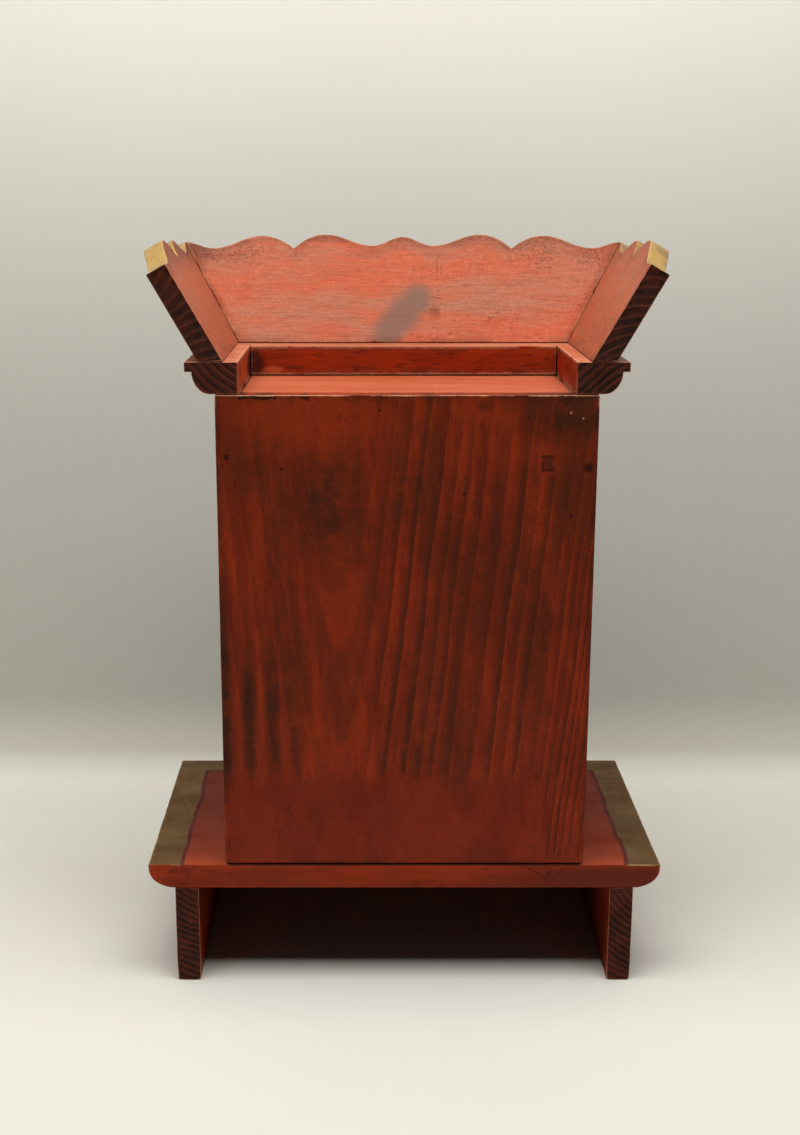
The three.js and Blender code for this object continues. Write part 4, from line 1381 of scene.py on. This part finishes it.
class CABINET_OT_cornice(bpy.types.Operator):
    """Build the three moulded cornice rails, swept along their paths and mitred at the front"""

    bl_idname = "cabinet.cornice"
    bl_label = "Cornice"

    def execute(self, context):
        sizes = context.scene.cabinet_sizes
        side_low, side_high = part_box("cornice_right")
        front_low, front_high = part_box("cornice_front")
        inner, outer = side_low.x, side_high.x
        reach = outer - inner
        foot_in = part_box("back_panel")[1].x
        corner_depth = BACK - side_low.y
        section = self.section(sizes, reach, foot_in - inner, side_high.z - side_low.z)
        for side, sign, seed in (("left", -1, 15), ("right", 1, 16)):
            length_inner = corner_depth - reach
            points, quads, arris = self.sweep(context, section, length_inner, 0.0, 0.0, 1.0)
            placed = np.stack(
                [sign * (inner + points[:, 0]), BACK - points[:, 1], side_low.z + points[:, 2]], 1
            )
            heart = (90, -70) if sign < 0 else (-40, 80)
            self.hand_over(
                context, f"cornice_{side}", placed, points, quads, arris, heart, seed, rings=(5.2, 5)
            )
        deep = front_high.y - front_low.y
        gap = 0.3 * MM
        front_section = self.section(sizes, deep, foot_in - inner + (deep - reach), side_high.z - side_low.z)
        span = 2 * (inner - gap)
        points, quads, arris = self.sweep(context, front_section, span, deep - reach, 1.0, 1.0)
        placed = np.stack(
            [points[:, 1] - span / 2, front_high.y - points[:, 0], side_low.z + points[:, 2]], 1
        )
        self.hand_over(context, "cornice_front", placed, points, quads, arris, (60, -60), 17, rings=(6, 5))
        return {"FINISHED"}

    def hand_over(self, context, node, placed, points, quads, arris, heart, seed, rings):
        grain = log_place(points, 1, heart, seed)
        outer = points[:, 0].max()
        on_fillet = (points[:, 0] > outer - 1.5 * MM) & (arris > 0.4 * MM)
        lip = np.where(on_fillet, 0.0, UNGILDED)
        set_board(context, node, placed, quads, arris, grain, lip, "red_paint", "cornice", seed, rings=rings)

    def section(self, sizes, reach, foot, height):
        """The moulding's outline, in metres from its inner foot, and each point's distance from an edge."""
        step = reach - sizes.rail_step
        fillet = height - sizes.rail_fillet
        start = foot + sizes.rail_ledge
        ovolo = bezier(
            [(start, 0.0), (start + sizes.rail_belly, 0.0), (step, fillet / 2), (step, fillet)], 40
        )
        corners = [(0.0, 0.0), *map(tuple, ovolo), (reach, fillet), (reach, height), (0.0, height)]
        rounded, arris = self.soften(np.array(corners), {0, 41, 42, 43}, sizes.arris)
        return rounded, arris

    def soften(self, corners, sharp, radius):
        """Rounds the sharp corners of a closed outline and spaces its points about a millimetre apart."""
        points, marks = [], []
        count = len(corners)
        for k, corner in enumerate(corners):
            before, after = corners[k - 1], corners[(k + 1) % count]
            if k in sharp:
                a = corner + (before - corner) / np.linalg.norm(before - corner) * radius
                b = corner + (after - corner) / np.linalg.norm(after - corner) * radius
                for share in np.linspace(0, 1, 7):
                    points.append(a * (1 - share) ** 2 + 2 * corner * share * (1 - share) + b * share**2)
                    marks.append(0.0)
            else:
                points.append(corner)
                marks.append(1.0)
        dense, arris = [], []
        corner_points = np.array([p for p, m in zip(points, marks) if m == 0.0])
        for k, start in enumerate(points):
            stop = points[(k + 1) % len(points)]
            run = np.linalg.norm(stop - start)
            parts = max(1, int(round(run / MM)))
            for share in np.arange(parts) / parts:
                dense.append(start + (stop - start) * share)
        dense = np.array(dense)
        arris = np.min(np.linalg.norm(dense[:, None] - corner_points[None], axis=2), axis=1)
        return dense, arris

    def sweep(self, context, section, length_of, square, near, far):
        outline, section_arris = section
        size = context.scene.cabinet_sizes
        # the whole outline can be seen from a point behind the fillet, so rings that shrink to it never cross
        centre = np.array([0.45 * outline[:, 0].max(), outline[:, 1].max() - 0.6 * size.rail_fillet])
        radius = size.arris
        half = outline[:, 1].max() / 2
        # the section shrinks over the rounded arris of each end, then fills the end ring by ring
        turn = np.linspace(0, math.pi / 2, 4)
        cap_full = np.linspace(1 - radius / half, 0.03, 16)
        cap_y = np.linspace(0.012 * MM, 0, 16)
        arc_full = 1 - radius / half * (1 - np.sin(turn))
        arc_y = radius * (1 - np.cos(turn)) + 0.012 * MM
        near_full = np.concatenate([cap_full[::-1], arc_full[1:]])
        near_y = np.concatenate([cap_y[::-1], arc_y[1:]])
        middle = np.linspace(
            near_y[-1], length_of - near_y[-1], int(round(length_of / size.mesh_step)) + 1
        )[1:-1]
        along = np.concatenate([near_y, middle, length_of - near_y[::-1]])
        fullness = np.concatenate([near_full, np.ones(len(middle)), near_full[::-1]])
        path = bpy.data.meshes.new("rail path")
        rows = [(centre[0], y, centre[1]) for y in along]
        path.from_pydata(rows, [(k, k + 1) for k in range(len(rows) - 1)], [])
        path.attributes.new("fullness", "FLOAT", "POINT").data.foreach_set(
            "value", fullness.astype(np.float32)
        )
        ring = bpy.data.meshes.new("rail section")
        count = len(outline)
        ring.from_pydata(
            [(p[0] - centre[0], centre[1] - p[1], 0.0) for p in outline],
            [(k, (k + 1) % count) for k in range(count)],
            [],
        )
        ring.attributes.new("section_arris", "FLOAT", "POINT").data.foreach_set(
            "value", section_arris.astype(np.float32)
        )
        ring_obj = bpy.data.objects.new("rail section", ring)
        rail = bpy.data.objects.new("rail", path)
        for obj in (ring_obj, rail):
            context.scene.collection.objects.link(obj)
        values = {
            "Section": ring_obj,
            "Rail length": length_of,
            "Square part": square,
            "Near mitre": near,
            "Far mitre": far,
            "Material": paint_named(context, "cornice"),
        }
        mesh = run_tree(rail, tree_named("Swept rail", swept_rail_tree), values)
        points = np.array([v.co for v in mesh.vertices])
        work = bmesh.new()
        work.from_mesh(mesh)
        bmesh.ops.triangulate(work, faces=[f for f in work.faces if len(f.verts) > 4])
        work.to_mesh(mesh)
        work.free()
        faces = [tuple(p.vertices) for p in mesh.polygons]
        full = np.zeros(len(points), np.float32)
        mesh.attributes["fullness"].data.foreach_get("value", full)
        marks = np.zeros(len(points), np.float32)
        mesh.attributes["section_arris"].data.foreach_get("value", marks)
        reach = np.maximum(points[:, 0] - square, 0)
        share = points[:, 1] / length_of
        start, stop = -near * reach, length_of + far * reach
        to_end = np.minimum(points[:, 1] - start, stop - points[:, 1])
        arris = np.where(full < 0.999, (1 - full) * half, np.minimum(marks, np.abs(to_end)))
        for obj in (ring_obj, rail):
            bpy.data.objects.remove(obj)
        for data in (path, ring, mesh):
            bpy.data.meshes.remove(data)
        return points, faces, arris


class CABINET_OT_crown(bpy.types.Operator):
    """Build the three leaning crown boards with their lobed, gilded crests"""

    bl_idname = "cabinet.crown"
    bl_label = "Crown"

    def execute(self, context):
        sizes = context.scene.cabinet_sizes
        foot_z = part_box("crown_front")[0].z
        side_foot, front_foot = sizes.crown_side_foot, sizes.crown_front_foot
        side_lean, front_lean = sizes.side_lean, sizes.front_lean

        def lean_out(foot, lean, up, through):
            """How far out and how high a point of a leaning board is."""
            out = foot + up * math.sin(lean) + through * math.cos(lean)
            return out, foot_z + up * math.cos(lean) - through * math.sin(lean)

        def in_front(along, up, through):
            out, z = lean_out(front_foot - BACK, front_lean, up, through)
            return along, -out, z

        self.build(
            context, "crown_front", 18, FRONT_CREST, side_foot, side_lean, front_lean, sizes, in_front,
            both=True,
        )
        for side, sign, seed in (("left", -1, 19), ("right", 1, 20)):

            def beside(along, up, through, sign=sign):
                out, z = lean_out(side_foot, side_lean, up, through)
                return sign * out, BACK - along, z

            self.build(
                context, f"crown_{side}", seed, SIDE_CREST, front_foot, front_lean, side_lean, sizes, beside,
                both=False,
            )
        return {"FINISHED"}

    def build(self, context, node, seed, turns, foot, other_lean, lean, sizes, place, both):
        """One leaning board.

        Foot is how far its inner foot runs to the corner. Place puts a point along, up and through the
        board into the frame."""
        thick = sizes.crown_thickness
        per_height = math.cos(lean) * math.tan(other_lean)
        per_thickness = 1 / math.cos(other_lean) - math.sin(lean) * math.tan(other_lean)
        top = sizes.corner_rise / math.cos(lean)
        corner = foot + per_height * top
        turns = (*turns, (corner / MM, top / MM, False))
        tall = max(t[1] for t in turns) * MM

        def share_of(turn):
            return turn[0] * MM / (foot + per_height * turn[1] * MM)

        if both:
            size_s = 2 * corner
            fixed = [corner * (1 + sign * share_of(t)) for t in turns[:-1] for sign in (-1, 1)]
        else:
            size_s = corner
            fixed = [corner * share_of(t) for t in turns[1:-1]]
        rows = [
            stations(size_s, sizes.arris, sizes.mesh_step * 0.8, fixed),
            stations(tall, sizes.arris, sizes.mesh_step * 0.8),
            stations(thick, sizes.arris, 1.6 * MM),
        ]
        points, quads, arris = rounded_block(rows, sizes.arris)
        share = points[:, 0] / corner - (1 if both else 0)
        along = np.abs(share)
        fan = np.clip((along - 0.87) / 0.13, 0, 1) * per_thickness * points[:, 2]
        crest = np.full(len(points), top)
        for _ in range(12):
            crest = edge_height(turns, along * (foot + per_height * crest) + fan)
        start = points[:, 2] * math.tan(lean)
        up = start + points[:, 1] / tall * (crest - start)
        run = (along * (foot - 0.2 * MM + per_height * up) + fan) * (np.sign(share) if both else 1)
        x, y, z = place(run, up, points[:, 2])
        placed = np.stack([x, y, z], 1)
        heart = (-30, 60) if seed == 19 else (140, 52) if seed == 20 else (40, -140)
        grain = log_place(np.stack([points[:, 1], run, points[:, 2]], 1), 1, heart, seed)
        set_board(
            context, node, placed, quads, arris, grain, crest - up, "faded_red_paint", "crown", seed,
            rings=(8.5, 6), waver=0.8,
        )


class CABINET_OT_stage(bpy.types.Operator):
    """Set up the floor and backdrop, the soft lights and the camera"""

    bl_idname = "cabinet.stage"
    bl_label = "Stage"

    def execute(self, context):
        scene = context.scene
        self.sweep_of_paper(context)
        self.light(
            context, "softbox", (0.05, 0.36, 1.55), (0.05, 0.34, 0.0), (1.7, 0.85), 29.0, (1.0, 0.99, 0.965)
        )
        scene.world = self.surroundings()
        scene.view_settings.view_transform = "Standard"

        camera_data = bpy.data.cameras.new("camera")
        camera_data.lens = CAMERA_LENS
        camera_data.sensor_width = 36.0
        camera_data.shift_x = CAMERA_SHIFT
        camera_data.clip_start, camera_data.clip_end = 0.05, 20.0
        camera = bpy.data.objects.new("camera", camera_data)
        camera.location = CAMERA_PLACE
        camera.rotation_euler = (math.radians(90 - CAMERA_DIP), 0.0, math.radians(180))
        scene.collection.objects.link(camera)
        scene.camera = camera
        return {"FINISHED"}

    def surroundings(self):
        """A dim studio that looks pale wherever the paper ends."""
        world = bpy.data.worlds.new("studio")
        world.use_nodes = True
        sheet = Sheet(world.node_tree)
        shown = sheet.node("ShaderNodeLightPath").outputs["Is Camera Ray"]
        strength = sheet.plus(0.025, sheet.times(shown, 0.72))
        background = world.node_tree.nodes["Background"]
        feed(sheet.tree, background.inputs["Color"], (0.96, 0.97, 1.0))
        feed(sheet.tree, background.inputs["Strength"], strength)
        return world

    def light(self, context, name, place, target, size, power, tint):
        data = bpy.data.lights.new(name, "AREA")
        data.shape = "RECTANGLE"
        data.size, data.size_y = size
        data.energy = power
        data.color = tint
        lamp = bpy.data.objects.new(name, data)
        lamp.location = place
        lamp.visible_camera = False
        lamp.rotation_euler = (Vector(target) - Vector(place)).to_track_quat("-Z", "Y").to_euler()
        context.scene.collection.objects.link(lamp)

    def sweep_of_paper(self, context):
        """Floor and wall in one sheet, joined by a curve."""
        wall, bend = -0.33, 0.03
        profile = [(4.0, 0.0), (1.0, 0.0), (0.0, 0.0), (wall + bend, 0.0)]
        for step in range(1, 13):
            turn = math.pi / 2 * step / 12
            profile.append((wall + bend - bend * math.sin(turn), bend - bend * math.cos(turn)))
        profile.append((wall, 3.5))
        work = bmesh.new()
        beyond = [(wall + bend, 0.0), (-1.0, 0.0), (-4.0, 0.0)]
        for line in (profile, beyond):
            rows = [[work.verts.new((x, y, z)) for y, z in line] for x in (-4.0, 4.0)]
            for k in range(len(line) - 1):
                work.faces.new((rows[0][k], rows[0][k + 1], rows[1][k + 1], rows[1][k])).smooth = True
        mesh = bpy.data.meshes.new("studio paper")
        work.to_mesh(mesh)
        work.free()
        paper = bpy.data.materials.new("studio paper")
        paper.use_nodes = True
        sheet = Sheet(paper.node_tree)
        place = sheet.node("ShaderNodeTexCoord").outputs["Object"]
        tone = context.scene.cabinet_finish.floor
        soft = sheet.fade(sheet.noise(place, 3.0, 3.0), 0.3, 0.7)
        height = sheet.split(place)[2]
        # painted shade: the wall is painted darker from a little above the floor, fading out higher up, where
        # the overhead light falls off
        painted_wall_shade = sheet.times(sheet.fade(height, 0.02, 0.10), sheet.fade(height, 0.85, 0.30))
        shader = paper.node_tree.nodes["Principled BSDF"]
        plain = sheet.mix(soft, tuple(0.985 * c for c in tone), tuple(tone))
        feed(sheet.tree, shader.inputs["Base Color"], sheet.mix(painted_wall_shade, plain, tuple(0.70 * c for c in tone)))
        shader.inputs["Roughness"].default_value = 0.85
        shader.inputs["Specular IOR Level"].default_value = 0.15
        # painted light: far from the cabinet the paper glows for camera rays only, as pale as the studio
        # beyond it, though it is no lamp
        far = sheet.fade(sheet.vector("LENGTH", place, out=1), 0.75, 2.0)
        level = sheet.fade(height, 0.002, 0.001)
        seen = sheet.node("ShaderNodeLightPath").outputs["Is Camera Ray"]
        feed(sheet.tree, shader.inputs["Emission Color"], (0.94, 0.95, 0.97))
        feed(sheet.tree, shader.inputs["Emission Strength"], sheet.times(far, level, seen, 0.72))
        # the paper has one side, so that the cabinet shows from behind it too
        clear = sheet.node("ShaderNodeBsdfTransparent").outputs[0]
        behind = sheet.node("ShaderNodeNewGeometry").outputs["Backfacing"]
        sided = sheet.node("ShaderNodeMixShader", {0: behind, 1: shader.outputs[0], 2: clear}).outputs[0]
        feed(sheet.tree, paper.node_tree.nodes["Material Output"].inputs["Surface"], sided)
        mesh.materials.append(paper)
        floor = bpy.data.objects.new("studio_paper", mesh)
        context.scene.collection.objects.link(floor)


class CABINET_PT_panel(bpy.types.Panel):
    """Lists the cabinet's pieces, sizes, wear and colours"""

    bl_idname = "CABINET_PT_panel"
    bl_label = "Altar cabinet"
    bl_space_type = "VIEW_3D"
    bl_region_type = "UI"
    bl_category = "Altar cabinet"

    def draw(self, context):
        layout = self.layout
        for operator in PIECES:
            layout.operator(operator.bl_idname)
        for group in (context.scene.cabinet_sizes, context.scene.cabinet_wear, context.scene.cabinet_finish):
            box = layout.box()
            for name in group.__annotations__:
                box.prop(group, name)


PIECES = (
    CABINET_OT_base,
    CABINET_OT_box,
    CABINET_OT_front,
    CABINET_OT_cornice,
    CABINET_OT_crown,
    CABINET_OT_stage,
)
CLASSES = (CabinetSizes, CabinetWear, CabinetFinish, *PIECES, CABINET_PT_panel)


def register():
    for cls in CLASSES:
        bpy.utils.register_class(cls)
    bpy.types.Scene.cabinet_sizes = bpy.props.PointerProperty(type=CabinetSizes)
    bpy.types.Scene.cabinet_wear = bpy.props.PointerProperty(type=CabinetWear)
    bpy.types.Scene.cabinet_finish = bpy.props.PointerProperty(type=CabinetFinish)


def unregister():
    del bpy.types.Scene.cabinet_finish
    del bpy.types.Scene.cabinet_wear
    del bpy.types.Scene.cabinet_sizes
    for cls in reversed(CLASSES):
        bpy.utils.unregister_class(cls)


def main():
    register()
    bpy.ops.cabinet.base()
    bpy.ops.cabinet.box()
    bpy.ops.cabinet.front()
    bpy.ops.cabinet.cornice()
    bpy.ops.cabinet.crown()
    bpy.ops.cabinet.stage()


if __name__ == "__main__":
    main()
